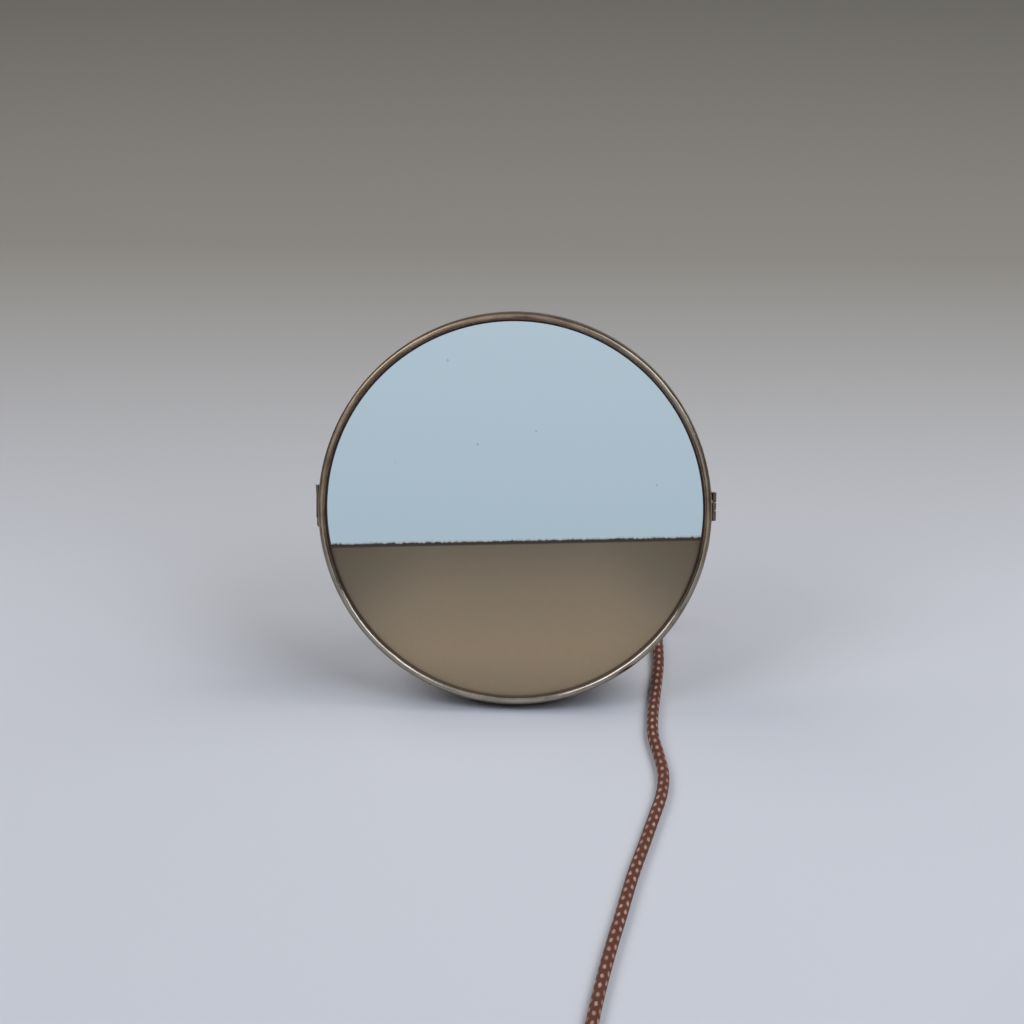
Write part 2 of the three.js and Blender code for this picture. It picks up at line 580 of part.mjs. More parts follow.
// Wall hanger: a raised plate with a keyhole.
const hangerFace = CASE_DEPTH + SEAT_GAP;
const hangerBack = hangerFace + HANGER_RISE + HANGER_SHEET;
const hat = pushed([
  [-17, hangerFace], [-9, hangerFace], [-9, hangerBack - HANGER_SHEET], [9, hangerBack - HANGER_SHEET],
  [9, hangerFace], [17, hangerFace], [17, hangerFace + HANGER_SHEET], [10, hangerFace + HANGER_SHEET],
  [10, hangerBack], [-10, hangerBack], [-10, hangerFace + HANGER_SHEET], [-17, hangerFace + HANGER_SHEET],
], 'xyz', HANGER_HEIGHT - 14, HANGER_HEIGHT + 14);
const keyRound = rod(4.5, [0, hangerFace, HANGER_HEIGHT - 5], [0, hangerBack + 2, HANGER_HEIGHT - 5], 16);
const keySlot = block([-2.2, hangerFace, HANGER_HEIGHT - 5], [2.2, hangerBack + 2, HANGER_HEIGHT + 8]);
const hangerRivets = [-13.5, 13.5].map((place) => [
  [place, backInside - SEAT_GAP, HANGER_HEIGHT], [0, 1, 0], CASE_SHEET + 3 * SEAT_GAP + HANGER_SHEET,
]);
const hangerHoles = hangerRivets.map((spec) => rivetHole(...spec));
piece(head, 'wall_hanger', worked(hat, [], [keyRound, keySlot, ...hangerHoles]), NICKEL);
piece(head, 'hanger_rivet_left', rivet(...hangerRivets[0]), NICKEL);
piece(head, 'hanger_rivet_right', rivet(...hangerRivets[1]), NICKEL);

// Gland for the cord, with its nut inside.
const glandAcross = reach(flatRadius - GLAND_EDGE, GLAND_DROP);
const glandPlace = [glandAcross, 0, -GLAND_DROP];
const glandBore = CORD_RADIUS + SEAT_GAP;
const glandFace = CASE_DEPTH + SEAT_GAP;
const glandEnd = glandFace + 2.5 + GLAND_TAIL;
const nutBack = backInside - SEAT_GAP;
const nutFront = nutBack - 3.2;
piece(head, 'cord_gland', turned([
  [glandBore, nutFront - 1.5], [GLAND_BARREL, nutFront - 1.5], [GLAND_BARREL, glandFace], [7.5, glandFace],
  [7.5, glandFace + 2], [6.5, glandFace + 2.5], [glandBore + 1.2, glandEnd], [glandBore, glandEnd],
  [glandBore, nutFront - 1.5],
], 16).translate(...glandPlace), BAKELITE);
const nutBore = rod(GLAND_BARREL + SEAT_GAP, [glandAcross, 0, -GLAND_DROP],
  [glandAcross, CASE_DEPTH * 2, -GLAND_DROP], 16);
const glandNut = rod(8, [glandAcross, nutFront, -GLAND_DROP], [glandAcross, nutBack, -GLAND_DROP], 6);
piece(head, 'gland_nut', worked(glandNut, [], [nutBore]), BAKELITE);

// Switch: a body inside, a threaded bush through the back, a ring nut and a lever.
const bushStart = backInside - SEAT_GAP - 6;
const bushEnd = bushStart + BUSH_LENGTH;
const bushBore = 3.4;
const switchAt = (depth) => [SWITCH_ACROSS, depth, SWITCH_HEIGHT];
const switchHole = rod(BUSH_RADIUS + SEAT_GAP, switchAt(bushStart - SEAT_GAP), switchAt(CASE_DEPTH * 2), 16);
const switchBox = block([SWITCH_ACROSS - 11, bushStart - 11, SWITCH_HEIGHT - SWITCH_HALF],
  [SWITCH_ACROSS + 11, backInside - SEAT_GAP, SWITCH_HEIGHT + SWITCH_HALF]);
piece(head, 'switch_body', worked(switchBox, [], [switchHole]), BAKELITE);
piece(head, 'switch_bush', turned([
  [bushBore, bushStart], [BUSH_RADIUS, bushStart], [BUSH_RADIUS, bushEnd - 0.6], [BUSH_RADIUS - 0.6, bushEnd],
  [bushBore, bushEnd], [bushBore, bushStart],
], 16).translate(...switchAt(0)), NICKEL);
const ringNutFront = CASE_DEPTH + SEAT_GAP;
piece(head, 'switch_ring_nut', turned([
  [BUSH_RADIUS + SEAT_GAP, ringNutFront], [9, ringNutFront], [9, ringNutFront + 1.6], [8, ringNutFront + 2.6],
  [BUSH_RADIUS + SEAT_GAP, ringNutFront + 2.6], [BUSH_RADIUS + SEAT_GAP, ringNutFront],
], 20).translate(...switchAt(0)), NICKEL);
const leverPivot = bushEnd - 5;
piece(head, 'switch_lever', turned([
  [0, -3], [1.8, -2.4], [2.8, -1], [2.8, 1], [1.5, 2.6], [1.5, 7], [2.1, 12], [2.5, 15], [1.7, 17], [0, 17.6],
], SMALL_SIDES).rotateX(THREE.MathUtils.degToRad(-LEVER_TILT)).translate(...switchAt(leverPivot)), NICKEL);

// Casing: a spun drum with a bevelled edge, pierced for vents and fixings.
const bevel = [0, 22.5, 45].map((degrees) => THREE.MathUtils.degToRad(degrees));
const caseSkin = (inset) => {
  const bend = CASE_BEND - inset;
  const outer = bevel.map((angle) => [
    caseRadius - CASE_BEND + bend * Math.cos(angle), wallBack + bend * Math.sin(angle),
  ]);
  const rear = bevel.map((angle) => [
    flatRadius + bend * Math.cos(Math.PI / 4 + angle),
    CASE_DEPTH - CASE_BEND + bend * Math.sin(Math.PI / 4 + angle),
  ]);
  return [[caseRadius - inset, caseFront], ...outer, ...rear, [0, CASE_DEPTH - inset]];
};
const drum = turned([...caseSkin(0), ...caseSkin(CASE_SHEET).reverse(), [caseRadius, caseFront]], RING_SIDES);
const vents = [];
const ventRadius = (caseRadius + flatRadius) / 2;
for (const middle of [90, 270]) {
  for (let i = 0; i < VENT_COUNT; i += 1) {
    const angle = THREE.MathUtils.degToRad(middle + (i - (VENT_COUNT - 1) / 2) * VENT_STEP);
    const [x, z] = [ventRadius * Math.cos(angle), ventRadius * Math.sin(angle)];
    vents.push(rod(VENT_RADIUS, [x, wallBack, z], [x, CASE_DEPTH + 2, z]));
  }
}
const caseHoles = [
  ...hingeRivets, claspRivet, ...bracketRivets, ...reflectorRivets, ...lugRivets, ...hangerRivets,
].map((spec) => rivetHole(...spec));
piece(head, 'casing_drum', worked(drum, [], [...vents, ...caseHoles, nutBore, switchHole]), NICKEL);

// Inner leads from the cord to the switch and the lamp holder.
const cordInner = nutFront - 3;
const leadDepth = cordInner - SEAT_GAP;
const leadOff = LEAD_RADIUS + 0.2;
const terminal = holderStart - SEAT_GAP;
const terminalHeight = -lampDrop + TERMINAL_OFF;
const terminalLow = -lampDrop - TERMINAL_OFF;
const inCase = (x, depth, z) => [x * flatRadius, depth * backInside, z * flatRadius];
const switchFoot = SWITCH_HEIGHT - SWITCH_HALF - SEAT_GAP;
const switchDepth = lampDepth + LEAD_RUN / 2;
const leadRoutes = {
  lead_cord_switch: [
    [glandAcross + leadOff, leadDepth, -GLAND_DROP],
    [glandAcross + leadOff, leadDepth - LEAD_RUN, -GLAND_DROP],
    inCase(0.85, 0.69, -0.05), inCase(0.74, 0.66, 0.15),
    [SWITCH_ACROSS + LEAD_RUN, switchDepth, switchFoot - LEAD_RUN],
    [SWITCH_ACROSS + LEAD_RUN, switchDepth, switchFoot],
  ],
  lead_cord_lamp: [
    [glandAcross - leadOff, leadDepth, -GLAND_DROP],
    [glandAcross - leadOff, leadDepth - LEAD_RUN, -GLAND_DROP],
    inCase(0.74, 0.71, -0.13), inCase(0.26, 0.77, -0.08), inCase(-0.26, 0.77, -0.1),
    inCase(-0.64, 0.73, -0.23), inCase(-0.81, 0.66, -0.39),
    [holderStart - LEAD_RUN, lampDepth, terminalHeight], [terminal, lampDepth, terminalHeight],
  ],
  lead_switch_lamp: [
    [SWITCH_ACROSS - LEAD_RUN, switchDepth, switchFoot],
    [SWITCH_ACROSS - LEAD_RUN, switchDepth, switchFoot - LEAD_RUN],
    inCase(0.28, 0.71, 0.1), inCase(-0.36, 0.73, 0.05), inCase(-0.77, 0.69, -0.18),
    inCase(-0.9, 0.64, -0.49), inCase(-0.87, 0.6, -0.67),
    [holderStart - LEAD_RUN, lampDepth, terminalLow], [terminal, lampDepth, terminalLow],
  ],
};
for (const [name, route] of Object.entries(leadRoutes)) {
  piece(head, name, wire(smooth(route), LEAD_RADIUS, 6, 28), COTTON);
}

// The head leans back and stands on the heel of its drum and on the bail.
const group = new THREE.Group();
group.name = 'lighted_mirror';
head.rotation.x = -lean;
group.add(head);
head.updateMatrixWorld(true);
const span = new THREE.Box3().setFromObject(head, true);
head.position.set(-(span.min.x + span.max.x) / 2, -(span.min.y + span.max.y) / 2, -span.min.z);
head.updateMatrixWorld(true);

// Cord: out of the gland, down to the table behind the drum, then forward past its right side.
const cordPoints = [
  [68, 9.8, 74.8], [68, 27.2, 69.5], [68, 38.4, 66.1], [68.1, 49.1, 62.8], [68.4, 57.7, 58.6], [69, 64.6, 52],
  [70, 69.1, 43.5], [71.3, 70.8, 33.5], [72.7, 69.1, 23.6], [74.2, 64.3, 14.7], [75.6, 56.8, 7.9],
  [76.8, 48, 4.1], [77.6, 40, 3.05], [78.4, 24, 3], [78.7, 3.7, 3],
  [77.2, -30, 3], [76, -55.6, 3], [76.2, -78.1, 3], [79.3, -99.9, 3], [81.8, -121.1, 3], [80.9, -141.9, 3],
  [77.6, -162.3, 3], [74.2, -182.2, 3], [67.5, -220.5, 3], [62.3, -256.9, 3], [57.3, -291.6, 3],
  [53.3, -324.6, 3], [50.6, -351.4, 3], [48.8, -376, 3.3], [48, -402, 4.1], [48, -414.85, 4.3],
];
piece(group, 'cord_lead', wire(smooth(cordPoints), CORD_RADIUS, 8, 52), COTTON);

// Coil of the spare cord: one layer winds in, climbs, and a second layer winds out to the plug.
const coilSpot = [5, -427, 4.3];
const coilOuter = 43;
const coilPitch = 6.6;
const coilTurns = 5;
const layerTurns = (coilTurns - 0.5) / 2;
const coilPoints = [];
const coilSteps = coilTurns * 24;
coilPoints.push([coilSpot[0] + coilOuter, coilSpot[1] + 11.85, coilSpot[2]]);
coilPoints.push([coilSpot[0] + coilOuter, coilSpot[1] + 6, coilSpot[2]]);
for (let i = 0; i <= coilSteps; i += 1) {
  const turns = i / 24;
  const radius = coilOuter - coilPitch * Math.min(turns, coilTurns - turns);
  const climb = THREE.MathUtils.smoothstep(turns, layerTurns, layerTurns + 0.5);
  const angle = 2 * Math.PI * turns;
  coilPoints.push([
    coilSpot[0] + radius * Math.cos(angle), coilSpot[1] - radius * Math.sin(angle),
    coilSpot[2] + coilPitch * climb,
  ]);
}
const plugSpot = [52, -464, PLUG_RADIUS];
coilPoints.push([48.5, -436.2, 11.2], [50, -445.5, 12.45], [51.5, -453, 13.5]);
coilPoints.push([plugSpot[0], plugSpot[1] + 5, plugSpot[2]]);
coilPoints.push([plugSpot[0], plugSpot[1] + SEAT_GAP, plugSpot[2]]);
let leastGap = Infinity;
for (let i = 0; i < coilPoints.length; i += 1) {
  for (let j = i + 8; j < coilPoints.length; j += 1) {
    const apart = new THREE.Vector3(...coilPoints[i]).distanceTo(new THREE.Vector3(...coilPoints[j]));
    leastGap = Math.min(leastGap, apart - 2 * CORD_RADIUS);
  }
}
console.log(`least gap of the coil to itself ${leastGap.toFixed(2)} mm`);
const coilPath = smooth(coilPoints);
coilPath.arcLengthDivisions = 2400;
piece(group, 'cord_coil', wire(coilPath, CORD_RADIUS, 6, 132), COTTON);

// Tie round the coil on its far side.
const tieNear = coilSpot[1] - coilOuter + coilPitch * layerTurns + CORD_RADIUS + 0.6;
const tieFar = coilSpot[1] - coilOuter - CORD_RADIUS - 0.2;
const tieTop = coilSpot[2] + coilPitch + CORD_RADIUS + 0.6;
const tieOutline = (grow, low) => [
  [tieFar - grow, low + 2], [tieFar - grow, tieTop + grow - 2], [tieFar - grow + 2, tieTop + grow],
  [tieNear + grow - 2, tieTop + grow], [tieNear + grow, tieTop + grow - 2], [tieNear + grow, low + 2],
  [tieNear + grow - 2, low], [tieFar - grow + 2, low],
];
const tieBand = pushed(tieOutline(1, 0), 'yzx', coilSpot[0] - 3, coilSpot[0] + 3);
const tieHole = pushed(tieOutline(0, 1), 'yzx', coilSpot[0] - 5, coilSpot[0] + 5);
piece(group, 'cord_tie', worked(tieBand, [], [tieHole]), TAPE);

// Plug with two round pins, lying beside the coil.
const alongPlug = (points, sides, offset) => aimed(
  turned(points, sides), [plugSpot[0] + offset, plugSpot[1], plugSpot[2]], [0, -1, 0]);
const pinHoles = [-1, 1].map((side) => alongPlug([
  [0, PLUG_LENGTH - 10], [PIN_RADIUS + SEAT_GAP, PLUG_LENGTH - 10], [PIN_RADIUS + SEAT_GAP, PLUG_LENGTH + 5],
  [0, PLUG_LENGTH + 5],
], SMALL_SIDES, (side * PIN_SPACING) / 2));
const plugBody = alongPlug([
  [0, 0], [CORD_RADIUS + 2.5, 0], [CORD_RADIUS + 4, 2], [CORD_RADIUS + 4, 8], [PLUG_RADIUS - 1.5, 17],
  [PLUG_RADIUS, 20], [PLUG_RADIUS, PLUG_LENGTH - 1.5], [PLUG_RADIUS - 1.5, PLUG_LENGTH], [0, PLUG_LENGTH],
], 24, 0);
piece(group, 'plug_body', worked(plugBody, [], pinHoles), BAKELITE);
for (const [side, label] of [[-1, 'left'], [1, 'right']]) {
  piece(group, `plug_pin_${label}`, alongPlug([
    [0, PLUG_LENGTH - 9.7], [PIN_RADIUS, PLUG_LENGTH - 9.7], [PIN_RADIUS, PLUG_LENGTH + PIN_LENGTH - 1.5],
    [PIN_RADIUS * 0.6, PLUG_LENGTH + PIN_LENGTH], [0, PLUG_LENGTH + PIN_LENGTH],
  ], SMALL_SIDES, (side * PIN_SPACING) / 2), BRASS);
}

export default group;
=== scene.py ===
"""Looks of a round lighted mirror on a wire stand. Metres, in the frame of its solids."""

import bmesh
import bpy
import numpy as np
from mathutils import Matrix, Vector


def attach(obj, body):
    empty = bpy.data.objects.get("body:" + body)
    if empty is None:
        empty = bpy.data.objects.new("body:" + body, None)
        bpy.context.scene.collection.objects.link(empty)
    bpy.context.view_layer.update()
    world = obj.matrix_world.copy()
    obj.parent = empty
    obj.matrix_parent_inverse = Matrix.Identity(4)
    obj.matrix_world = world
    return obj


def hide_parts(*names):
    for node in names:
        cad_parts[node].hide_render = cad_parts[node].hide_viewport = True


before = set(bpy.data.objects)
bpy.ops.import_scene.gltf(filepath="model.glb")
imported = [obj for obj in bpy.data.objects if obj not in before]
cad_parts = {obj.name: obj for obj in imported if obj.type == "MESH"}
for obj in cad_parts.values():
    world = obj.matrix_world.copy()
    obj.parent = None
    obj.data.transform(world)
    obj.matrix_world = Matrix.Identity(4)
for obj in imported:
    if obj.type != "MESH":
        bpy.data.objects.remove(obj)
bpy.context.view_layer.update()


# Studio: a wide table top of matt paper, cool and pale in front and, as painted shade, a darker
# and warmer grey further back.
# Far from the object it fades into the pale grey around it. Soft lights stand at four places.
def linear(colour):
    """sRGB hex to linear light: a straight piece near black, then a power of 2.4."""
    part = np.array([int(colour[i:i + 2], 16) for i in (1, 3, 5)]) / 255
    light = np.where(part <= 0.04045, part / 12.92, ((part + 0.055) / 1.055) ** 2.4)
    return (*light.tolist(), 1.0)


def join(made, links):
    """Feeds sockets of a node, each from an output or from the first live output of a node."""
    for name, source in dict(links).items():
        if isinstance(source, bpy.types.Node):
            source = next(out for out in source.outputs if out.enabled)
        made.id_data.links.new(source, made.inputs[name])


def node(tree, kind, settings=(), links=()):
    """Adds a node of a kind, with its operation as a second word. A setting is a socket's value, a
    property, the stops of a ramp as positions and hex colours, or the pair that a range runs
    From or To. A link is a socket and what feeds it."""
    kind, *operation = kind.split()
    made = tree.nodes.new("ShaderNode" + kind)
    for word in operation:
        made.operation = word
    for name, value in dict(settings).items():
        if name == "stops":
            elements = made.color_ramp.elements
            while len(elements) < len(value):
                elements.new(1.0)
            for element, (place, colour) in zip(elements, value):
                element.position, element.color = place, linear(colour)
        elif name in ("From", "To"):
            for end, part in zip((" Min", " Max"), value):
                made.inputs[name + end].default_value = part
        elif isinstance(name, int) or name in made.inputs:
            made.inputs[name].default_value = value
        else:
            setattr(made, name, value)
    join(made, links)
    return made


def finish(name, settings=()):
    """A new material with its node tree and its surface shader."""
    look = bpy.data.materials.new(name)
    look.use_nodes = True
    shader = look.node_tree.nodes["Principled BSDF"]
    for socket, value in dict(settings).items():
        shader.inputs[socket].default_value = value
    return look, look.node_tree, shader


def eye_rays(tree):
    """One for the rays that an eye follows: camera, glossy and transmission rays."""
    path = node(tree, "LightPath")
    seen = path.outputs["Is Camera Ray"]
    for ray in ("Is Glossy Ray", "Is Transmission Ray"):
        seen = node(tree, "Math MAXIMUM", links={0: seen, 1: path.outputs[ray]})
    return seen


def stand_at(thing, spot, aim):
    """Stands a camera or a light at spot, turned to look at aim."""
    scene.collection.objects.link(thing)
    thing.location = spot
    thing.rotation_euler = (Vector(aim) - Vector(spot)).to_track_quat("-Z", "Y").to_euler()


scene = bpy.context.scene
scene.view_settings.view_transform = "Standard"
camera = bpy.data.objects.new("camera", bpy.data.cameras.new("camera"))
camera.data.sensor_width, camera.data.lens, camera.data.clip_end = 36, 99.0, 60
CAMERA_SPOT, CAMERA_AIM = (0.07028, -1.38816, 0.71223), (-0.00109, -0.02246, 0.10475)
stand_at(camera, CAMERA_SPOT, CAMERA_AIM)
scene.camera = camera

# Matt paper scatters light evenly, so the shadows lie soft on it and it shows no gloss.
SOFT, COLOURS = {"interpolation_type": "SMOOTHSTEP"}, {"data_type": "RGBA"}
FLOOR_NEAR, FLOOR_BACK, FLOOR_HALF, FLOOR_MIDDLE = -0.4, 1.6, 8.0, (0.0, 0.6, 0.0)
FADE_START, FADE_END, PALE = 1.2, 2.4, "#b5b3ae"
paper, tree, shader = finish("matt_paper", {"Roughness": 0.9, "Specular IOR Level": 0.15})
place = node(tree, "TexCoord").outputs["Object"]
depth = node(tree, "SeparateXYZ", links={"Vector": place}).outputs["Y"]
# Painted shade: the paper's tone runs from the pale front to a darker warm grey at the back.
back_shade_share = node(tree, "MapRange", {"From": (FLOOR_NEAR, FLOOR_BACK)}, {"Value": depth})
tone = node(tree, "ValToRGB", {"stops": [(0.26, "#dcdee4"), (0.56, "#aca8a0")]}, {"Fac": back_shade_share})
join(shader, {"Base Color": tone})
away = node(tree, "VectorMath DISTANCE", {1: FLOOR_MIDDLE}, {0: place})
fade = node(tree, "MapRange", {"From": (FADE_START, FADE_END), **SOFT}, {"Value": away})
fade = node(tree, "Math MULTIPLY", links={0: fade, 1: eye_rays(tree)})
pale = node(tree, "Emission", {"Color": linear(PALE)})
melted = node(tree, "MixShader", links={0: fade, 1: shader, 2: pale})
join(tree.nodes["Material Output"], {"Surface": melted})
floor_mesh = bpy.data.meshes.new("table_top")
floor_corners = [(x * FLOOR_HALF, y * FLOOR_HALF, 0.0) for x, y in ((-1, -1), (1, -1), (1, 1), (-1, 1))]
floor_mesh.from_pydata(floor_corners, [], [(0, 1, 2, 3)])
floor_mesh.materials.append(paper)
table_top = bpy.data.objects.new("table_top", floor_mesh)
scene.collection.objects.link(table_top)

# Polished metal sees only a part of the two lights in front, so that its highlights don't clip.
LIGHT_SIZE, LIGHT_AIM = 1.0, (0, 0, 0.1)
for name, shines, power, colour, spot in (
        ("front_right", True, 8.5, "#e9f0ff", (1.0, -0.84, 1.31)),
        ("front_right_shaded", False, 4.5, "#e9f0ff", (1.0, -0.84, 1.31)),
        ("front_left", True, 9.0, "#eff4ff", (-1.0, -0.84, 1.31)),
        ("front_left_shaded", False, 2.0, "#eff4ff", (-1.0, -0.84, 1.31)),
        ("back_right", False, 10.0, "#fffdfa", (0.97, 0.26, 1.55)),
        ("back_left", False, 6.0, "#fffaf2", (-0.99, 0.57, 1.46))):
    light = bpy.data.objects.new(name, bpy.data.lights.new(name, "AREA"))
    light.data.size, light.data.energy, light.data.color = LIGHT_SIZE, power, linear(colour)[:3]
    light.visible_glossy = shines
    stand_at(light, spot, LIGHT_AIM)
# The world is a dim grey for diffuse light and pale grey for the camera. Metal and glass see a brown
# surround, grey behind, with one tall cool panel in front that joins a pale patch overhead.
scene.world = bpy.data.worlds.new("sky")
scene.world.use_nodes = True
tree = scene.world.node_tree
tree.nodes.clear()
split = node(tree, "SeparateXYZ", links={"Vector": node(tree, "TexCoord").outputs["Generated"]})
across, depth, height = (split.outputs[axis] for axis in "XYZ")
cool = node(tree, "ValToRGB", {"stops": [
    (0.0, "#a9bcc9"), (0.35, "#b6c8d4"), (0.6, "#c9d6df"), (0.85, "#bcbebf")]}, {"Fac": height})
ahead = node(tree, "MapRange", {"From": (-0.05, -0.3), **SOFT}, {"Value": depth})
aside = node(tree, "Math ABSOLUTE", links={0: across})
within = node(tree, "MapRange", {"From": (0.6, 0.36), **SOFT}, {"Value": aside})
panel = node(tree, "Math MULTIPLY", links={0: ahead, 1: within})
overhead = node(tree, "MapRange", {"From": (0.82, 0.97), **SOFT}, {"Value": height})
panel = node(tree, "Math MAXIMUM", links={0: panel, 1: overhead})
behind = node(tree, "MapRange", {"From": (-0.6, 0.2), **SOFT}, {"Value": depth})
brown = node(tree, "Mix", {**COLOURS, 6: linear("#544a40"), 7: linear("#8b877e")}, {0: behind})
sky = node(tree, "Mix", COLOURS, {0: panel, 6: brown, 7: cool})
camera_ray = node(tree, "LightPath").outputs["Is Camera Ray"]
sky = node(tree, "Mix", {**COLOURS, 7: linear(PALE)}, {0: camera_ray, 6: sky})
dim = node(tree, "MapRange", {"From Min": -1.0, "To": (0.04, 0.12)}, {"Value": depth})
ambient = node(tree, "Background", {"Color": linear("#ffffff")}, {"Strength": dim})
backdrop = node(tree, "Background", {"Strength": 1.0}, {"Color": sky})
mixed = node(tree, "MixShader", links={0: eye_rays(tree), 1: ambient, 2: backdrop})
node(tree, "OutputWorld", links={"Surface": mixed})


# Mains cord: two rubber cores under a round cotton braid, 6 mm thick and 1.7 m long. It comes out of
# the gland, runs forward over the table and ends in a coil. Red-brown threads with a cream pair on
# every carrier make flecks that run in staggered rows.
def smooth(points, step):
    """A centripetal curve through points, in even steps: cubic pieces whose end slopes weigh the
    chords on both sides by the square root of their lengths, then resampled by running length."""
    spots = np.asarray(points, float)
    ends = np.vstack([2 * spots[0] - spots[1], spots, 2 * spots[-1] - spots[-2]])
    a, b, c, d = ends[:-3], ends[1:-2], ends[2:-1], ends[3:]
    ab, bc, cd = (np.sqrt(np.linalg.norm(q - p, axis=1))[:, None] for p, q in ((a, b), (b, c), (c, d)))
    out = ((b - a) / ab - (c - a) / (ab + bc) + (c - b) / bc) * bc
    back = ((c - b) / bc - (d - b) / (bc + cd) + (d - c) / cd) * bc
    t = np.linspace(0, 1, 60, endpoint=False)[None, :, None]
    b, c, out, back = (v[:, None, :] for v in (b, c, out, back))
    curve = (2 * t**3 - 3 * t**2 + 1) * b + (t**3 - 2 * t**2 + t) * out
    curve = curve + (3 * t**2 - 2 * t**3) * c + (t**3 - t**2) * back
    curve = np.vstack([curve.reshape(-1, 3), spots[-1]])
    run = np.append(0, np.cumsum(np.linalg.norm(np.diff(curve, axis=0), axis=1)))
    even = np.linspace(0, run[-1], max(2, int(round(run[-1] / step)) + 1))
    return np.stack([np.interp(even, run, curve[:, k]) for k in range(3)], 1)


def tube(path, radius, sides, side_way):
    """Rings about a path in metres, closed by a point at each end: a ring's zero is side_way less
    its part along the path. Returns the points, and the run along in millimetres with the share
    of a turn round the surface."""
    way = np.gradient(path, axis=0)
    way /= np.linalg.norm(way, axis=1)[:, None]
    right = side_way - np.sum(side_way * way, axis=1)[:, None] * way
    right /= np.linalg.norm(right, axis=1)[:, None]
    up = np.cross(way, right)
    turn = np.linspace(0, 2 * np.pi, sides, endpoint=False)[None, :, None]
    rings = path[:, None] + radius * (np.cos(turn) * right[:, None] + np.sin(turn) * up[:, None])
    first, last = (np.repeat(path[None, [end]], sides, 1) for end in (0, -1))
    run = np.append(0, np.cumsum(np.linalg.norm(np.diff(path, axis=0), axis=1)))
    run = 1000 * np.concatenate([[0], run, run[-1:]])
    round_it = np.linspace(0, 1, sides + 1)
    return np.concatenate([first, rings, last]), np.stack(np.meshgrid(run, round_it, indexing="ij"), 2)


def surface(name, grid, wrap=(False, True), uv=None, crease=35, ends=False):
    """A mesh from a grid of points in metres, or from several grids alike: a face between each two
    rows and two columns, wrap joining the last row or column to the first. Points that meet are
    merged, ends closes the first and last row with a flat face each, faces turn outward, and
    edges bent by more than crease degrees stay crisp."""
    rows, columns = grid.shape[-3:-1]
    i, j = (k.ravel() for k in np.meshgrid(
        np.arange(rows - (not wrap[0])), np.arange(columns - (not wrap[1])), indexing="ij"))
    k, m = (i + 1) % rows, (j + 1) % columns
    faces = np.stack([i * columns + j, k * columns + j, k * columns + m, i * columns + m], 1)
    faces = faces + np.arange(0, grid.size // 3, rows * columns)[:, None, None]
    mesh = bpy.data.meshes.new(name)
    mesh.from_pydata(grid.reshape(-1, 3).tolist(), [], faces.reshape(-1, 4).tolist())
    if uv is not None:
        corners = np.stack([uv[i, j], uv[i + 1, j], uv[i + 1, j + 1], uv[i, j + 1]], 1)
        mesh.uv_layers.new(name="run").data.foreach_set("uv", corners.ravel())
    shell = bmesh.new()
    shell.from_mesh(mesh)
    bmesh.ops.remove_doubles(shell, verts=shell.verts, dist=1e-7)
    if ends:
        bmesh.ops.holes_fill(shell, edges=[edge for edge in shell.edges if edge.is_boundary])
    bmesh.ops.recalc_face_normals(shell, faces=shell.faces)
    shell.to_mesh(mesh)
    shell.free()
    mesh.shade_smooth()
    mesh.set_sharp_from_angle(angle=np.radians(crease))
    return mesh


def piece(name, grid, body, slot, look, stands_for=(), **shape):
    """A piece of the object: its surface and material, its body and what it stands for. Its slot is not
    used.
    """
    mesh = surface(name, grid, **shape)
    mesh.materials.append(look)
    made = bpy.data.objects.new(name, mesh)
    scene.collection.objects.link(made)
    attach(made, body)
    if stands_for:
        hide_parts(*stands_for)
    return made


CORD_RADIUS, CORD_SIDES = 3.0, 24
GLAND_MOUTH = (68, 38.4, 66.1)
lead_points = np.array([
    (68, 9.8, 74.8), (68, 27.2, 69.5), GLAND_MOUTH, (68.1, 49.1, 62.8), (68.4, 57.7, 58.6),
    (69, 64.6, 52), (70, 69.1, 43.5), (71.3, 70.8, 33.5), (72.7, 69.1, 23.6), (74.2, 64.3, 14.7),
    (75.6, 56.8, 7.9), (76.8, 48, 4.1), (77.6, 40, 3.05), (78.4, 24, 3), (78.7, 3.7, 3),
    (77.2, -30, 3), (76, -55.6, 3), (76.2, -78.1, 3), (79.3, -99.9, 3), (81.8, -121.1, 3),
    (80.9, -141.9, 3), (77.6, -162.3, 3), (74.2, -182.2, 3), (67.5, -220.5, 3), (62.3, -256.9, 3),
    (57.3, -291.6, 3), (53.3, -324.6, 3), (50.6, -351.4, 3), (48.8, -376, 3.3), (48, -402, 4.1),
    (48, -415, 4.3), (48, -421, 4.3)])
# Coil: the angle runs evenly, the radius shrinks by a pitch each turn, then grows again a layer higher.
COIL_SPOT, COIL_OUTER, COIL_PITCH, COIL_TURNS, TURN_POINTS = (5, -427, 4.3), 43, 6.6, 5, 24
turns = np.arange(COIL_TURNS * TURN_POINTS + 1) / TURN_POINTS
coil_radius = COIL_OUTER - COIL_PITCH * np.minimum(turns, COIL_TURNS - turns)
climb = np.clip((turns - (COIL_TURNS - 0.5) / 2) / 0.5, 0, 1)
climb = climb * climb * (3 - 2 * climb)
coil_points = np.stack([
    COIL_SPOT[0] + coil_radius * np.cos(2 * np.pi * turns),
    COIL_SPOT[1] - coil_radius * np.sin(2 * np.pi * turns),
    COIL_SPOT[2] + COIL_PITCH * climb], 1)
plug_points = [
    (48.5, -436.2, 11.2), (50, -445.5, 12.45), (51.5, -453, 13.5), (52, -459, 14), (52, -464.5, 14)]
route = smooth(np.vstack([lead_points, coil_points, plug_points]), 1.0)
mouth = int(np.argmin(np.linalg.norm(route - np.array(GLAND_MOUTH), axis=1)))
# Across the drop the rings start from x, on the table from z; they change over on the straight run.
CHANGE_START, CHANGE_RUN, DROP_STEPS = 40, 260, 120
over = np.clip((CHANGE_START - route[:, 1]) / CHANGE_RUN, 0, 1) * (np.arange(len(route)) > DROP_STEPS)
side_way = np.stack([1 - over, 0 * over, over], 1)

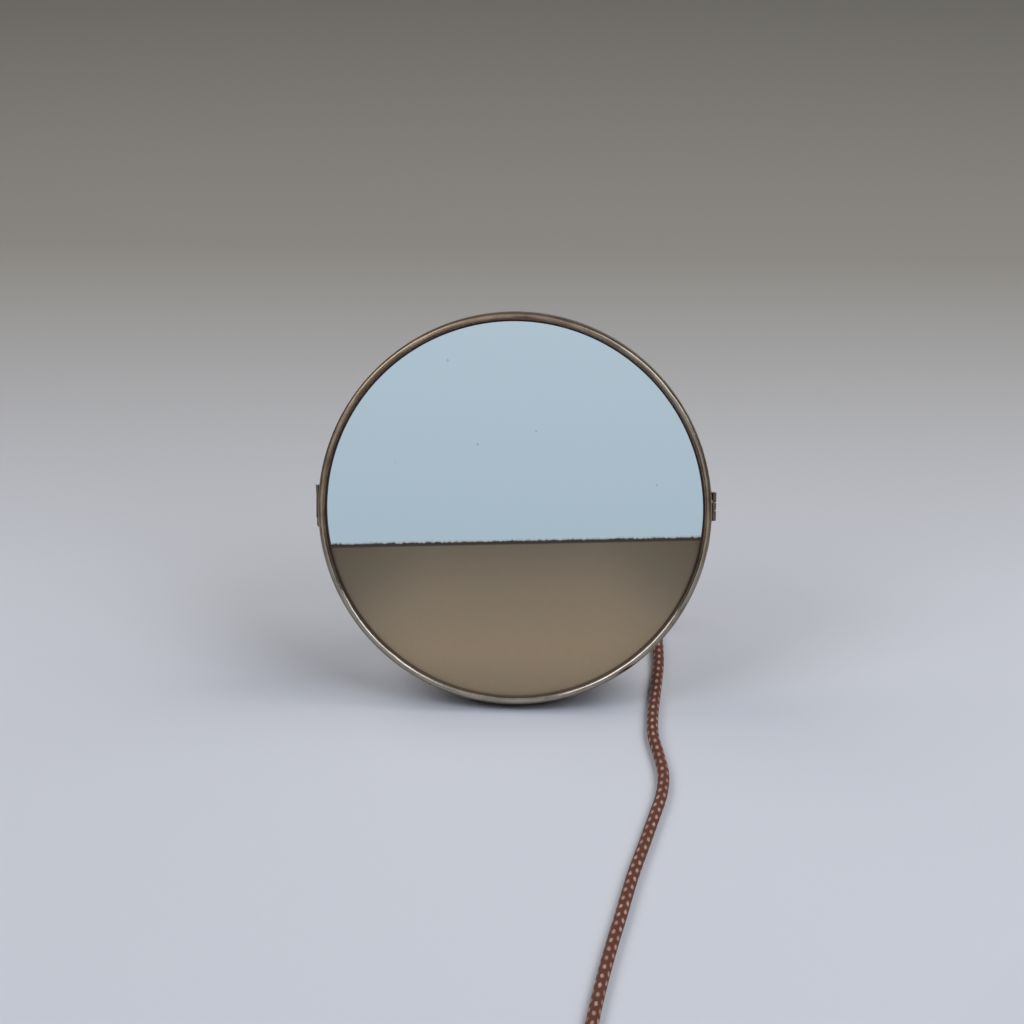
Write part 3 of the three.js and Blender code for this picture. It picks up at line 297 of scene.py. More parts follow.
# Cotton braid: dull and soft, with a faint sheen of loose fibres and ridges that cross at a slant.
FLECK_PITCH, FLECK_ROWS, ROW_START, CORD_TWIST, CORD_ROUND = 7.5, 6, 0.69, 1500.0, 18.8
FLECK_SHRINK, THREAD_STEP, CARRIERS, FUZZ = np.sqrt((0.3, 1.35)), 1.9, 12, 1.11
cotton, tree, shader = finish("cotton_braid", {
    "Roughness": 0.85, "Specular IOR Level": 0.25, "Sheen Weight": 0.08})
run = node(tree, "UVMap", {"uv_map": "run"})
split = node(tree, "SeparateXYZ", links={"Vector": run})
# Flecks: cells of one pitch along and a sixth of the way round, every second row moved half a pitch.
# In its cell a fleck is an oval, twice as long as it is wide, with a ragged edge: the distance from
# the cell's middle, shrunk along the cord and stretched round it.
twisted = node(tree, "Math MULTIPLY_ADD", {1: 1 / CORD_TWIST},
               {0: split.outputs["X"], 2: split.outputs["Y"]})
row = node(tree, "Math MULTIPLY_ADD", {1: FLECK_ROWS, 2: ROW_START}, {0: twisted})
row_number = node(tree, "Math FLOOR", links={0: row})
odd = node(tree, "Math MODULO", {1: 2.0}, {0: row_number})
half = node(tree, "Math MULTIPLY", {1: 0.5}, {0: odd})
along = node(tree, "Math MULTIPLY_ADD", {1: 1 / FLECK_PITCH}, {0: split.outputs["X"], 2: half})
cells = node(tree, "CombineXYZ", links={"X": along, "Y": row})
oval = np.append(FLECK_SHRINK * (FLECK_PITCH, 2 * np.pi * CORD_RADIUS / FLECK_ROWS), 0)
inside = node(tree, "VectorMath FRACTION", links={0: cells})
off = node(tree, "VectorMath MULTIPLY_ADD", {1: oval.tolist(), 2: (-0.5 * oval).tolist()}, {0: inside})
reach = node(tree, "VectorMath LENGTH", links={0: off})
on_braid = node(tree, "VectorMath MULTIPLY", {1: (1.0, CORD_ROUND, 1.0)}, {0: run})
ragged = node(tree, "TexNoise", {"Scale": 1 / FUZZ, "Detail": 2.0}, {"Vector": on_braid})
edge = node(tree, "Math MULTIPLY_ADD", {1: 1.5}, {0: ragged, 2: reach})
fleck = node(tree, "MapRange", {"From": (2.0, 1.37)}, {"Value": edge})
cell = node(tree, "VectorMath FLOOR", links={0: cells})
shade = node(tree, "TexWhiteNoise", {"noise_dimensions": "2D"}, {"Vector": cell})
shade = node(tree, "Math MULTIPLY_ADD", {1: 0.45, 2: 0.6}, {0: shade})
fleck = node(tree, "Math MULTIPLY", links={0: shade, 1: fleck})
# Threads: two families of ridges cross at a slant, one over the other in turn, 0.95 mm apart, which
# is coarser than the real ones so that they show.
ridges = []
for side in (1, -1):
    slant = (2 * np.pi / THREAD_STEP, side * 2 * np.pi * CARRIERS, 0)
    phase = node(tree, "VectorMath DOT_PRODUCT", {1: slant}, {0: run})
    ridges.append(node(tree, "Math SINE", links={0: phase}))
weave = node(tree, "Math MAXIMUM", links=enumerate(ridges))
weave = node(tree, "Math MULTIPLY_ADD", {1: 0.5, 2: 0.5}, {0: weave})
# Painted shade of the weave: paler on the ridges and darker between them, with tone that varies at random.
crest_light_and_tone = node(tree, "Math MULTIPLY_ADD", {1: 1.2}, {0: ragged, 2: weave})
crest_light_and_tone = node(tree, "Math SUBTRACT", {1: 0.5}, {0: crest_light_and_tone})
dyed = node(tree, "Mix", {**COLOURS, 6: linear("#3a1d16"), 7: linear("#6f3f32")}, {0: crest_light_and_tone})
dyed = node(tree, "Mix", {**COLOURS, 7: linear("#c9a991")}, {0: fleck, 6: dyed})
raised = node(tree, "Math MULTIPLY_ADD", {1: 0.6}, {0: fleck, 2: weave})
bump = node(tree, "Bump", {"Strength": 0.6, "Distance": 0.0003}, {"Height": raised})
join(shader, {"Base Color": dyed, "Normal": bump})

rings, run_map = tube(route[mouth:] / 1000, CORD_RADIUS / 1000, CORD_SIDES, side_way[mouth:])
cord = piece("mains_cord", rings, "case", "cotton_braid", cotton, ("cord_lead", "cord_coil"), uv=run_map)
GLAND_PLAY = 1e-5
inner = slice(0, mouth + 3)
rings, run_map = tube(route[inner] / 1000, CORD_RADIUS / 1000 - GLAND_PLAY, CORD_SIDES, side_way[inner])
piece("cord_in_gland", rings, "case", "cotton_braid", cotton, uv=run_map)


# Casing: a drum of brass sheet spun in one piece and nickelled, straight at the front, bevelled to
# a flat back, and pierced with two rows of vents over and under the lamp.
LEAN = np.radians(17)
HEAD_SPOT = np.array((0.02385, -21.51265, 105.32289))


def lean(points):
    """Head millimetres, x right, y back and z up from the glass, to the frame in metres: a turn
    of the lean about x, then a move to the head's spot."""
    x, y, z = np.moveaxis(np.asarray(points, float), -1, 0)
    y, z = np.cos(LEAN) * y + np.sin(LEAN) * z, np.cos(LEAN) * z - np.sin(LEAN) * y
    return (np.stack([x, y, z], -1) + HEAD_SPOT) / 1000


def head_place(tree):
    """The same turn taken back in nodes: Object coordinates to head millimetres."""
    y, z = HEAD_SPOT[1:]
    back = (-HEAD_SPOT[0], np.sin(LEAN) * z - np.cos(LEAN) * y, -np.sin(LEAN) * y - np.cos(LEAN) * z)
    return node(tree, "Mapping", {
        "Scale": (1000, 1000, 1000), "Rotation": (LEAN, 0, 0), "Location": back,
    }, {"Vector": node(tree, "TexCoord").outputs["Object"]})


def eased(points, cut, steps=5, closed=False):
    """A broken line with its corners rounded: each corner gives way to a parabola between the two
    points set back from it by cut, or by 0.45 of the shorter side."""
    spots = np.asarray(points, float)
    before, after = np.roll(spots, 1, 0) - spots, np.roll(spots, -1, 0) - spots
    sides = [np.maximum(np.linalg.norm(way, axis=1), 1e-9)[:, None] for way in (before, after)]
    back = np.minimum(cut, 0.45 * np.minimum(*sides))
    a, b = (spots + back * way / side for way, side in zip((before, after), sides))
    t = np.linspace(0, 1, steps)[None, :, None]
    arcs = (1 - t) ** 2 * a[:, None] + 2 * t * (1 - t) * spots[:, None] + t**2 * b[:, None]
    if not closed:
        arcs[0], arcs[-1] = spots[0], spots[-1]
    return arcs.reshape(-1, spots.shape[1])


def turned(profile, start=(0, 0, 0), way=(0, 1, 0), sides=192, flutes=(0, 0.0)):
    """A profile of (radius, height) turned about an axis: every spoke is the radius times a unit
    vector round the axis, plus the height along it. flutes = (count, depth) ripples the radius.
    Returns the points and, in millimetres, the run round and along the surface."""
    radius, height = np.asarray(profile, float).T
    way = np.asarray(way, float) / np.linalg.norm(way)
    right = np.cross((0, 0, 1) if abs(way[2]) < 0.9 else (1, 0, 0), way)
    right /= np.linalg.norm(right)
    turn = np.linspace(0, 2 * np.pi, sides, endpoint=False)
    spokes = np.cos(turn)[:, None] * right + np.sin(turn)[:, None] * np.cross(way, right)
    ripple = flutes[1] * (0.5 + 0.5 * np.cos(flutes[0] * turn))
    size = radius[:, None] - (radius > 0)[:, None] * ripple
    points = np.asarray(start, float) + height[:, None, None] * way + size[..., None] * spokes
    run = np.append(0, np.cumsum(np.hypot(np.diff(radius), np.diff(height))))
    run = np.append(run, run[-1] + np.hypot(radius[0] - radius[-1], height[0] - height[-1]))
    round_it = np.linspace(0, 2 * np.pi * radius.max(), sides + 1)
    return points, np.stack(np.meshgrid(run, round_it, indexing="ij")[::-1], 2)


# Nickel plate, old and handled: a warm grey metal, clouded by tarnish and brown where that is
# thickest, with pits and fine scratches that make the shine uneven. The scratches and the marks of
# spinning are drawn coarser than they are, so that they show.
CLOUD, PIT, SPIN_MARK, SCRATCH = 11.1, 1.11, 0.909, (2.857, 0.2381, 0.3247)


def nickel_plate(name, tones, spun=False):
    """Clouds of tones, pits and scratches on head millimetres; spun adds the marks of spinning."""
    look, tree, shader = finish(name, {"Metallic": 1.0})
    place = head_place(tree)
    cloud = node(tree, "TexNoise", {"Scale": 1 / CLOUD, "Detail": 6.0, "Roughness": 0.65},
                 {"Vector": place})
    pits = node(tree, "TexNoise", {"Scale": 1 / PIT, "Detail": 3.0}, {"Vector": place})
    drawn = node(tree, "VectorMath DIVIDE", {1: SCRATCH}, {0: place})
    scratch = node(tree, "TexNoise", {"Scale": 1.0, "Detail": 4.0}, {"Vector": drawn})
    height, tone = scratch, cloud
    if spun:
        flat = node(tree, "VectorMath MULTIPLY", {1: (1, 0, 1)}, {0: place})
        middle = node(tree, "VectorMath LENGTH", links={0: flat})
        marks = node(tree, "TexNoise", {"noise_dimensions": "1D", "Scale": 1 / SPIN_MARK, "Detail": 5.0},
                     {"W": middle})
        height = node(tree, "Math MULTIPLY_ADD", {1: 0.35}, {0: scratch, 2: marks})
        tone = node(tree, "Mix", {0: 0.35}, {2: cloud, 3: marks})
    colour = node(tree, "ValToRGB", {"stops": list(zip((0.3, 0.5, 0.65, 0.85), tones))}, {"Fac": tone})
    pit = node(tree, "MapRange", {"From": (0.66, 0.74), "To Max": 0.45}, {"Value": pits})
    colour = node(tree, "Mix", {**COLOURS, 7: linear("#4c4034")}, {0: pit, 6: colour})
    worn = node(tree, "Mix", {0: 0.4}, {2: cloud, 3: scratch})
    rough = node(tree, "MapRange", {"From": (0.3, 0.75), "To": (0.24, 0.46)}, {"Value": worn})
    bump = node(tree, "Bump", {"Strength": 0.12, "Distance": 0.0002}, {"Height": height})
    join(shader, {"Base Color": colour, "Roughness": rough, "Normal": bump})
    return look


bright_tones = ("#948879", "#a79c8f", "#b3a89b", "#9c8c76")
nickel = nickel_plate("nickel_plate", bright_tones)
spun_nickel = nickel_plate("spun_nickel_plate", bright_tones, spun=True)
dull_tones = ("#5a5046", "#7c7164", "#938777", "#73634f")
dull_nickel = nickel_plate("tarnished_nickel_plate", dull_tones)

CASE_FRONT, WALL_BACK, CASE_DEPTH, CASE_RADIUS, CASE_SHEET = 9.0, 20.0, 46.0, 103.9, 0.8
CASE_BEND, CASE_CREASE = 6.0, 50
FLAT_RADIUS = CASE_RADIUS - (CASE_DEPTH - WALL_BACK)
bevel = np.radians(np.linspace(0, 45, 9))[:, None]


def case_skin(inset):
    """Front edge, the bend into the 45 degree bevel, the bend into the back, and the middle."""
    bend = CASE_BEND - inset
    outer = np.hstack([CASE_RADIUS - CASE_BEND + bend * np.cos(bevel), WALL_BACK + bend * np.sin(bevel)])
    rear = np.hstack([FLAT_RADIUS + bend * np.cos(bevel + np.pi / 4),
                      CASE_DEPTH - CASE_BEND + bend * np.sin(bevel + np.pi / 4)])
    return np.vstack([[CASE_RADIUS - inset, CASE_FRONT], outer, rear, [0, CASE_DEPTH - inset]])


grid, _ = turned(np.vstack([case_skin(0)[::-1], case_skin(CASE_SHEET)]))
casing = piece("casing_shell", lean(grid), "case", "nickel", spun_nickel, ("casing_drum",),
               crease=CASE_CREASE)
# Vents: round punches stand across the bevel, and are cut out of the drum.
VENT_RADIUS, VENT_COUNT, VENT_STEP, PUNCH_LENGTH, PUNCH_SIDES = 2.5, 7, 9.0, 30.0, 28
vent_middle = (CASE_RADIUS + FLAT_RADIUS) / 2
vent_angle = (np.arange(VENT_COUNT) - (VENT_COUNT - 1) / 2) * VENT_STEP
vent_angle = np.radians(np.append(90 + vent_angle, 270 + vent_angle))
vents = np.stack([vent_middle * np.cos(vent_angle), 0 * vent_angle, vent_middle * np.sin(vent_angle)], 1)
stroke, _ = turned([(0, 0), (VENT_RADIUS, 0), (VENT_RADIUS, PUNCH_LENGTH), (0, PUNCH_LENGTH)],
                   (0, WALL_BACK, 0), sides=PUNCH_SIDES)
punch = bpy.data.objects.new("vent_punch", surface("vent_punch", lean(vents[:, None, None] + stroke)))
scene.collection.objects.link(punch)
pierce = casing.modifiers.new("vents", "BOOLEAN")
pierce.object = punch
pierce.solver = "EXACT"
pierced = bpy.data.meshes.new_from_object(casing.evaluated_get(bpy.context.evaluated_depsgraph_get()))
casing.modifiers.clear()
casing.data = pierced
pierced.shade_smooth()
pierced.set_sharp_from_angle(angle=np.radians(CASE_CREASE))
bpy.data.objects.remove(punch)


# Rivets: small nickelled brass rivets that hold the hinge, the clasp and the fittings to the drum,
# each set with a domed head on both sides of the sheets.
def rivet(name, start, length, way=(0, 1, 0), radius=0.8):
    """A shank with a dome at each end: the dome's radius and rise follow a quarter ellipse."""
    bow = np.radians(np.linspace(0, 90, 7))[:, None]
    low = np.hstack([2 * radius * np.sin(bow), -radius * np.cos(bow)])
    high = np.hstack([2 * radius * np.cos(bow), length + radius * np.sin(bow)])
    grid, _ = turned(np.vstack([low, [(radius, 0), (radius, length)], high]), start, way, 24)
    return piece(name + "_set", lean(grid), "case", "nickel", nickel, (name,))


LAMP_DROP, LAMP_DEPTH, HOLDER_START = 46.0, 26.85, -55.57
for name, start, length, *way in (
        ("hinge_rivet_low", (102.65, 18.8, -2.1), 2.65, (1, 0, 0)),
        ("hinge_rivet_high", (102.43, 18.8, 7.1), 2.87, (1, 0, 0)),
        ("clasp_rivet", (-102.31, 16.25, -8.65), 4.19, (-1, 0, 0)),
        ("bracket_rivet_left", (HOLDER_START + 5, 43.6, -LAMP_DROP), 2.7),
        ("bracket_rivet_right", (HOLDER_START + 15, 43.6, -LAMP_DROP), 2.7),
        ("reflector_rivet_left", (-6.03, 43.76, -LAMP_DROP), 2.54),
        ("reflector_rivet_right", (29.64, 43.76, -LAMP_DROP), 2.54),
        ("lug_rivet_left_low", (-37, 44.9, 7), 3.2),
        ("lug_rivet_left_high", (-37, 44.9, 15), 3.2),
        ("lug_rivet_right_low", (37, 44.9, 7), 3.2),
        ("lug_rivet_right_high", (37, 44.9, 15), 3.2),
        ("hanger_rivet_left", (-13.5, 44.9, 53), 2.7),
        ("hanger_rivet_right", (13.5, 44.9, 53), 2.7)):
    rivet(name, start, length, *way)


# Reflector: sheet steel bent to a trough behind the lamp, dipped in white enamel and riveted to the
# back. The enamel is glossy and a little cream, and its tone drifts where it ran thicker.
def clouded(name, settings, size, detail, stops, distortion=0.0):
    """A material whose colour drifts through stops in clouds of size millimetres. Returns it with
    its tree, its shader and the clouds."""
    look, tree, shader = finish(name, settings)
    cloud = node(tree, "TexNoise", {"Scale": 1 / size, "Detail": detail, "Distortion": distortion},
                 {"Vector": head_place(tree)})
    join(shader, {"Base Color": node(tree, "ValToRGB", {"stops": stops}, {"Fac": cloud})})
    return look, tree, shader, cloud


enamel, *_ = clouded("white_enamel", {"Roughness": 0.22, "Coat Weight": 0.3}, 16.67, 3.0,
                     [(0.3, "#e2dccb"), (0.7, "#efebe0")])
REFLECTOR_LEFT, REFLECTOR_RIGHT, REFLECTOR_HALF = -20.57, 45.5, 29.0
SPINE, REFLECTOR_SHEET = 44.9, 0.84
fold = np.array([(0.62, -1), (0.86, -0.72), (1, -0.28), (1, 0.28), (0.86, 0.72), (0.62, 1)])
fold = eased(np.stack([SPINE * fold[:, 0], -LAMP_DROP + REFLECTOR_HALF * fold[:, 1]], 1), 6, 8)
section = np.vstack([fold, (fold - (REFLECTOR_SHEET, 0))[::-1]])
trough = np.stack([np.insert(section, 0, end, axis=1) for end in (REFLECTOR_LEFT, REFLECTOR_RIGHT)])
piece("reflector_trough", lean(trough), "case", "enamel", enamel, ("reflector",), ends=True)


# Lamp holder: a glazed porcelain cup with a threaded brass sleeve and a sprung contact, screwed to
# a bracket of nickelled strip that is riveted to the back.
def along_lamp(name, profile, slot, look, node_name, ease=0.3, sides=64):
    """A turned piece on the lamp's axis, its corners eased."""
    grid, _ = turned(eased(profile, ease), (HOLDER_START, LAMP_DEPTH, -LAMP_DROP), (1, 0, 0), sides)
    return piece(name, lean(grid), "case", slot, look, (node_name,))


# Porcelain: a hard white glaze, so it has sharp highlights and only a breath of cream.
porcelain, *_ = clouded("glazed_porcelain", {"Roughness": 0.12, "Coat Weight": 0.4}, 5.0, 2.0,
                        [(0.3, "#e9e4d8"), (0.7, "#f2efe6")])
# Brass under old lacquer: warm yellow metal, browner and duller in clouds where the lacquer failed.
brass, tree, shader, cloud = clouded("lacquered_brass", {"Metallic": 1.0}, 3.33, 5.0, [
    (0.3, "#8a6a35"), (0.55, "#c29a54"), (0.75, "#a9834a")])
join(shader, {
    "Roughness": node(tree, "MapRange", {"To": (0.22, 0.42)}, {"Value": cloud})})


def thread(radius, start, end, points, depth=0.25):
    """The line of a screw thread: even heights, with every second radius less by depth."""
    return np.column_stack([radius - depth * (np.arange(points) % 2), np.linspace(start, end, points)])


along_lamp("porcelain_cup", [
    (0, 0), (11, 0), (12, 1), (12, 21), (11.4, 22), (11.4, 26), (12, 27), (12, 30), (8.6, 30), (8.6, 5),
    (0, 5)], "porcelain", porcelain, "holder_cup", 0.6)
along_lamp("threaded_sleeve", np.vstack([
    thread(8.3, 5.8, 27.5, 31), thread(7.75, 5.8, 27.5, 31)[::-1], [(8.3, 5.8)]]),
    "brass", brass, "holder_sleeve")
along_lamp("sprung_contact", [(0, 5.3), (3.5, 5.3), (3.5, 6.3), (1.5, 7.8), (0, 7.8)],
           "brass", brass, "holder_contact")
along_lamp("bracket_screw", [(0, -3.6), (2, -3.6), (3, -2.6), (3, -1.6), (1.5, -1.6), (1.5, 3), (0, 3)],
           "brass", brass, "holder_screw")


# Lamp: a tubular clear lamp on a small brass screw cap, with a glass stem and a bent tungsten wire.
# The glass is clear and shiny, faintly greyed in clouds by metal that has boiled off the wire.
lamp_clear, tree, shader, cloud = clouded(
    "clear_lamp_glass", {"Transmission Weight": 1.0, "IOR": 1.48}, 12.5, 3.0,
    [(0.35, "#fafaf8"), (0.7, "#dddbd5")])
join(shader, {
    "Roughness": node(tree, "MapRange", {"To": (0.01, 0.06)}, {"Value": cloud})})
# Drawn tungsten: a dark grey wire, dull from heat.
tungsten, *_ = clouded("drawn_tungsten", {"Metallic": 1.0, "Roughness": 0.45}, 0.5, 2.0,
                       [(0.3, "#4a4a4c"), (0.7, "#77767a")])
along_lamp("lamp_screw_cap", np.vstack([
    [(0, 8.1), (2.5, 8.1), (2.5, 8.9), (5.9, 11.1)], thread(6.9, 12.1, 25.1, 27, 0.5),
    [(6.9, 26.1), (5.9, 26.1), (5.9, 13.1), (0, 13.1)]]), "brass", brass, "lamp_cap", 0.2)
along_lamp("lamp_bulb", [
    (4.9, 16.1), (5.6, 16.1), (5.6, 27.1), (9.5, 32.1), (11, 35.1), (11, 90.1), (8.25, 95.6),
    (3.85, 97.7), (0, 98.1), (0, 97.4), (3.6, 97.0), (7.7, 94.9), (10.3, 90.1), (10.3, 35.1), (8.8, 32.1),
    (4.9, 27.1), (4.9, 16.1)], "lamp_glass", lamp_clear, "lamp_glass", 3.0)
along_lamp("lamp_glass_stem", [(0, 16.1), (4.6, 16.1), (4.6, 17.1), (2, 22.1), (1.6, 43.1), (0, 43.1)],
           "lamp_glass", lamp_clear, "lamp_stem", 1.0, 32)
WIRE_START, WIRE_SPAN, WIRE_RADIUS = 43.4, 40.7, 0.0002
bends = np.array([
    (0, 0), (0.04, 1), (0.5, 5), (0.95, 6), (1, 4.5), (0.9, 2), (0.5, 0), (0.2, -2), (0.16, -4),
    (0.5, -5.5), (0.95, -6), (1, -4.5), (0.9, -2.5)])
count = np.arange(len(bends))
bends = smooth(np.stack([
    HOLDER_START + WIRE_START + bends[:, 0] * WIRE_SPAN,
    LAMP_DEPTH + (count - 6) * 0.5 * np.minimum(1, count / 3), -LAMP_DROP + bends[:, 1]], 1), 1.0)
rings, _ = tube(lean(bends), WIRE_RADIUS, 8, np.array([[0.1, 1.0, 0.3]]))
piece("lamp_wire", rings, "case", "tungsten", tungsten, ("lamp_filament",))


# Pressed and bent fittings keep their solids: bracket, switch body, gland nut, lugs and hanger.
# A small bevel on each edge catches the light as rumbled metal and moulded resin do.
def dress(name, look):
    """Gives a solid that stays its material."""
    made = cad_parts[name]
    made.material_slots[0].link = "OBJECT"
    made.material_slots[0].material = look
    return made


def fitted(name, look, edge):
    """Finishes a solid in place: merged corners, a two-step bevel of edge millimetres, a material."""
    made = dress(name, look)
    weld = made.modifiers.new("corners", "WELD")
    weld.merge_threshold = 1e-6
    rounding = made.modifiers.new("edges", "BEVEL")
    rounding.width = edge / 1000
    rounding.segments = 2
    rounding.limit_method = "ANGLE"
    rounding.angle_limit = np.radians(32)


# Bakelite: moulded brown-black resin, glossy, with a faint mottle of paler filler.
bakelite, *_ = clouded("brown_bakelite", {"Roughness": 0.25, "Coat Weight": 0.2}, 4.0, 6.0, [
    (0.35, "#1e130e"), (0.6, "#3a241a"), (0.75, "#4e3020")], distortion=1.5)
for name in ("holder_bracket", "stand_lug_left", "stand_lug_right", "wall_hanger"):
    fitted(name, nickel, 0.18)
for name in ("switch_body", "gland_nut"):
    fitted(name, bakelite, 0.4)


# Inner leads: single cores in waxed brown cotton, from the gland to the switch and the lamp.
# The wax makes them darker and a little shinier than the outer cord, and the lay shows as fine bands.
WAVE_STEP, LEAD_LAY, LEAD_RADIUS = np.pi / 10, 0.262, 0.001
waxed, tree, shader = finish("waxed_cotton", {"Roughness": 0.6, "Sheen Weight": 0.2})
lay = node(tree, "TexWave", {"Scale": WAVE_STEP / LEAD_LAY, "Distortion": 1.0},
           {"Vector": head_place(tree)})
join(shader, {"Base Color": node(
    tree, "ValToRGB", {"stops": [(0.2, "#35241a"), (0.8, "#5b4030")]}, {"Fac": lay.outputs["Fac"]})})
# The middle points are shares of the flat back's radius and of the depth inside.
room_inside = (FLAT_RADIUS, 45.2, FLAT_RADIUS)
for name, start, middle, end in (
        ("lead_cord_switch", [(69.22, 38.4, -20), (69.22, 32.4, -20)],
         [(0.85, 0.69, -0.05), (0.74, 0.66, 0.15)],
         [(52, 29.85, 24.7), (52, 29.85, 30.7)]),
        ("lead_cord_lamp", [(66.82, 38.4, -20), (66.82, 32.4, -20)],
         [(0.74, 0.71, -0.13), (0.26, 0.77, -0.08), (-0.26, 0.77, -0.1), (-0.64, 0.73, -0.23),
          (-0.81, 0.66, -0.39)],
         [(-61.57, LAMP_DEPTH, -36.7), (-55.87, LAMP_DEPTH, -36.7)]),
        ("lead_switch_lamp", [(40, 29.85, 30.7), (40, 29.85, 24.7)],
         [(0.28, 0.71, 0.1), (-0.36, 0.73, 0.05), (-0.77, 0.69, -0.18), (-0.9, 0.64, -0.49),
          (-0.87, 0.6, -0.67)],
         [(-61.57, LAMP_DEPTH, -55.3), (-55.87, LAMP_DEPTH, -55.3)])):
    line = lean(smooth(np.vstack([start, np.array(middle) * room_inside, end]), 1.0))
    rings, _ = tube(line, LEAD_RADIUS, 12, np.array([[0.05, 0.98, 0.2]]))
    piece(name + "_core", rings, "case", "cotton_braid", waxed, (name,))


# Door ring: brass strip rolled to a half-round bead with a skirt, butted at the left and nickelled.
# Handling has rubbed the plate along the bead, so it is brown and brassy between bright scratches.
RING_RADIUS, BEAD_HALF, BEAD_BACK, SKIRT_BACK, SKIRT_INNER = 105.0, 1.9, 2.2, 13.0, 104.2
SEAM_ANGLE, DENT_PUSH = 186.6, 0.4
bow = np.radians(np.linspace(0, 180, 25))[:, None]
bead = np.hstack([RING_RADIUS - BEAD_HALF - BEAD_HALF * np.cos(bow), BEAD_HALF * (1 - np.sin(bow))])
bead_inner = RING_RADIUS - 2 * BEAD_HALF
skirt = eased([
    (RING_RADIUS, BEAD_HALF), (RING_RADIUS, SKIRT_BACK), (SKIRT_INNER, SKIRT_BACK),
    (SKIRT_INNER, BEAD_BACK), (bead_inner + 0.1, BEAD_BACK), (bead_inner, BEAD_HALF)], 0.3)
ring_grid, ring_run = turned(np.vstack([bead, skirt[1:-1]]), sides=512)
# Dents and the butt joint: each is a dip of the bead's radius and depth that fades as a bell round its
# angle, given as angle, depth in millimetres and half width in degrees.
dents = np.array([
    (SEAM_ANGLE, 0.35, 0.25), (351, 0.16, 1.2), (38, 0.14, 1.6), (232, 0.2, 1.3), (262, 0.12, 2.0),
    (305, 0.1, 2.5), (118, 0.1, 2.2), (76, 0.1, 1.8), (210, 0.1, 1.5), (20, 0.08, 2.4)])
ring_turn = np.degrees(np.arctan2(ring_grid[0, :, 2], ring_grid[0, :, 0])) % 360
off = (ring_turn[:, None] - dents[:, 0] + 180) % 360 - 180
dip = np.sum(dents[:, 1] * np.exp(-(off / dents[:, 2]) ** 2), axis=1)
dip = np.outer(np.arange(len(ring_grid)) < len(bead), dip)[..., None]
ring_grid = ring_grid * (1 - dip / RING_RADIUS * (1, 0, 1)) + DENT_PUSH * dip * (0, 1, 0)

# Rubbed nickel: scratches run round the ring, drawn coarser than they are so that they show, and
# the metal is paler and smoother below and at the upper right: wiped most there, and painted highlight
# where the lamps shine.
RUB, STAIN, NICK = (31.25, 0.78125, 1.0), 14.29, 1.818
rubbed, tree, shader = finish("rubbed_nickel", {"Metallic": 1.0})
place = head_place(tree)
split = node(tree, "SeparateXYZ", links={"Vector": place})
across, depth, height = (split.outputs[axis] for axis in "XYZ")
rub_way = node(tree, "VectorMath DIVIDE", {1: RUB}, {0: node(tree, "UVMap", {"uv_map": "run"})})
lines = node(tree, "TexNoise", {"Scale": 1.0, "Detail": 5.0, "Roughness": 0.7}, {"Vector": rub_way})
cloud = node(tree, "TexNoise", {"Scale": 1 / STAIN, "Detail": 5.0, "Roughness": 0.6}, {"Vector": place})
nicks = node(tree, "TexNoise", {"Scale": 1 / NICK, "Detail": 3.0}, {"Vector": place})
tone = node(tree, "Mix", {0: 0.35}, {2: lines, 3: cloud})
worn, pale_highlit_tones = (
    node(tree, "ValToRGB", {"stops": list(zip((0.34, 0.45, 0.55, 0.68), tones))}, {"Fac": tone})
    for tones in (("#57493d", "#98826d", "#c2aa91", "#b49271"),
                  ("#665d53", "#988d80", "#b9aea1", "#9e8d79")))
# Paler plate below and at the upper right: wear, and painted highlight where the lamps' shine falls.
low = node(tree, "MapRange", {"From": (0.0, -40.0), **SOFT}, {"Value": height})
corner = node(tree, "Math MINIMUM", links={0: across, 1: height})
right = node(tree, "MapRange", {"From": (0.0, 60.0), "To Max": 0.7}, {"Value": corner})
paler_and_highlit = node(tree, "Math MAXIMUM", links={0: low, 1: right})
colour = node(tree, "Mix", COLOURS, {0: paler_and_highlit, 6: worn, 7: pale_highlit_tones})
# Darker brown on the outer slope, and above on the inner one: tarnish where no cloth has rubbed,
# and painted shade of the dark surround that these slopes face.
flat = node(tree, "VectorMath MULTIPLY", {1: (1, 0, 1)}, {0: place})
reach = node(tree, "VectorMath LENGTH", links={0: flat})
slope = node(tree, "Math MULTIPLY_ADD", {1: 0.8}, {0: lines, 2: reach})
outer = node(tree, "MapRange", {"From": (103.4, 104.7), "To Max": 0.6}, {"Value": slope})
inner = node(tree, "MapRange", {"From": (103.3, 102.4)}, {"Value": slope})
# Painted shade: the inner slope is darkened only in the upper half, where it faces down.
upper_inner_shade = node(tree, "MapRange", {"From": (-20.0, 30.0), "To Max": 0.8}, {"Value": height})
inner = node(tree, "Math MULTIPLY", links={0: inner, 1: upper_inner_shade})
for cover, tarnish_and_shade in ((outer, "#6c5c4a"), (inner, "#463a30")):
    colour = node(tree, "Mix", {**COLOURS, 7: linear(tarnish_and_shade)}, {0: cover, 6: colour})
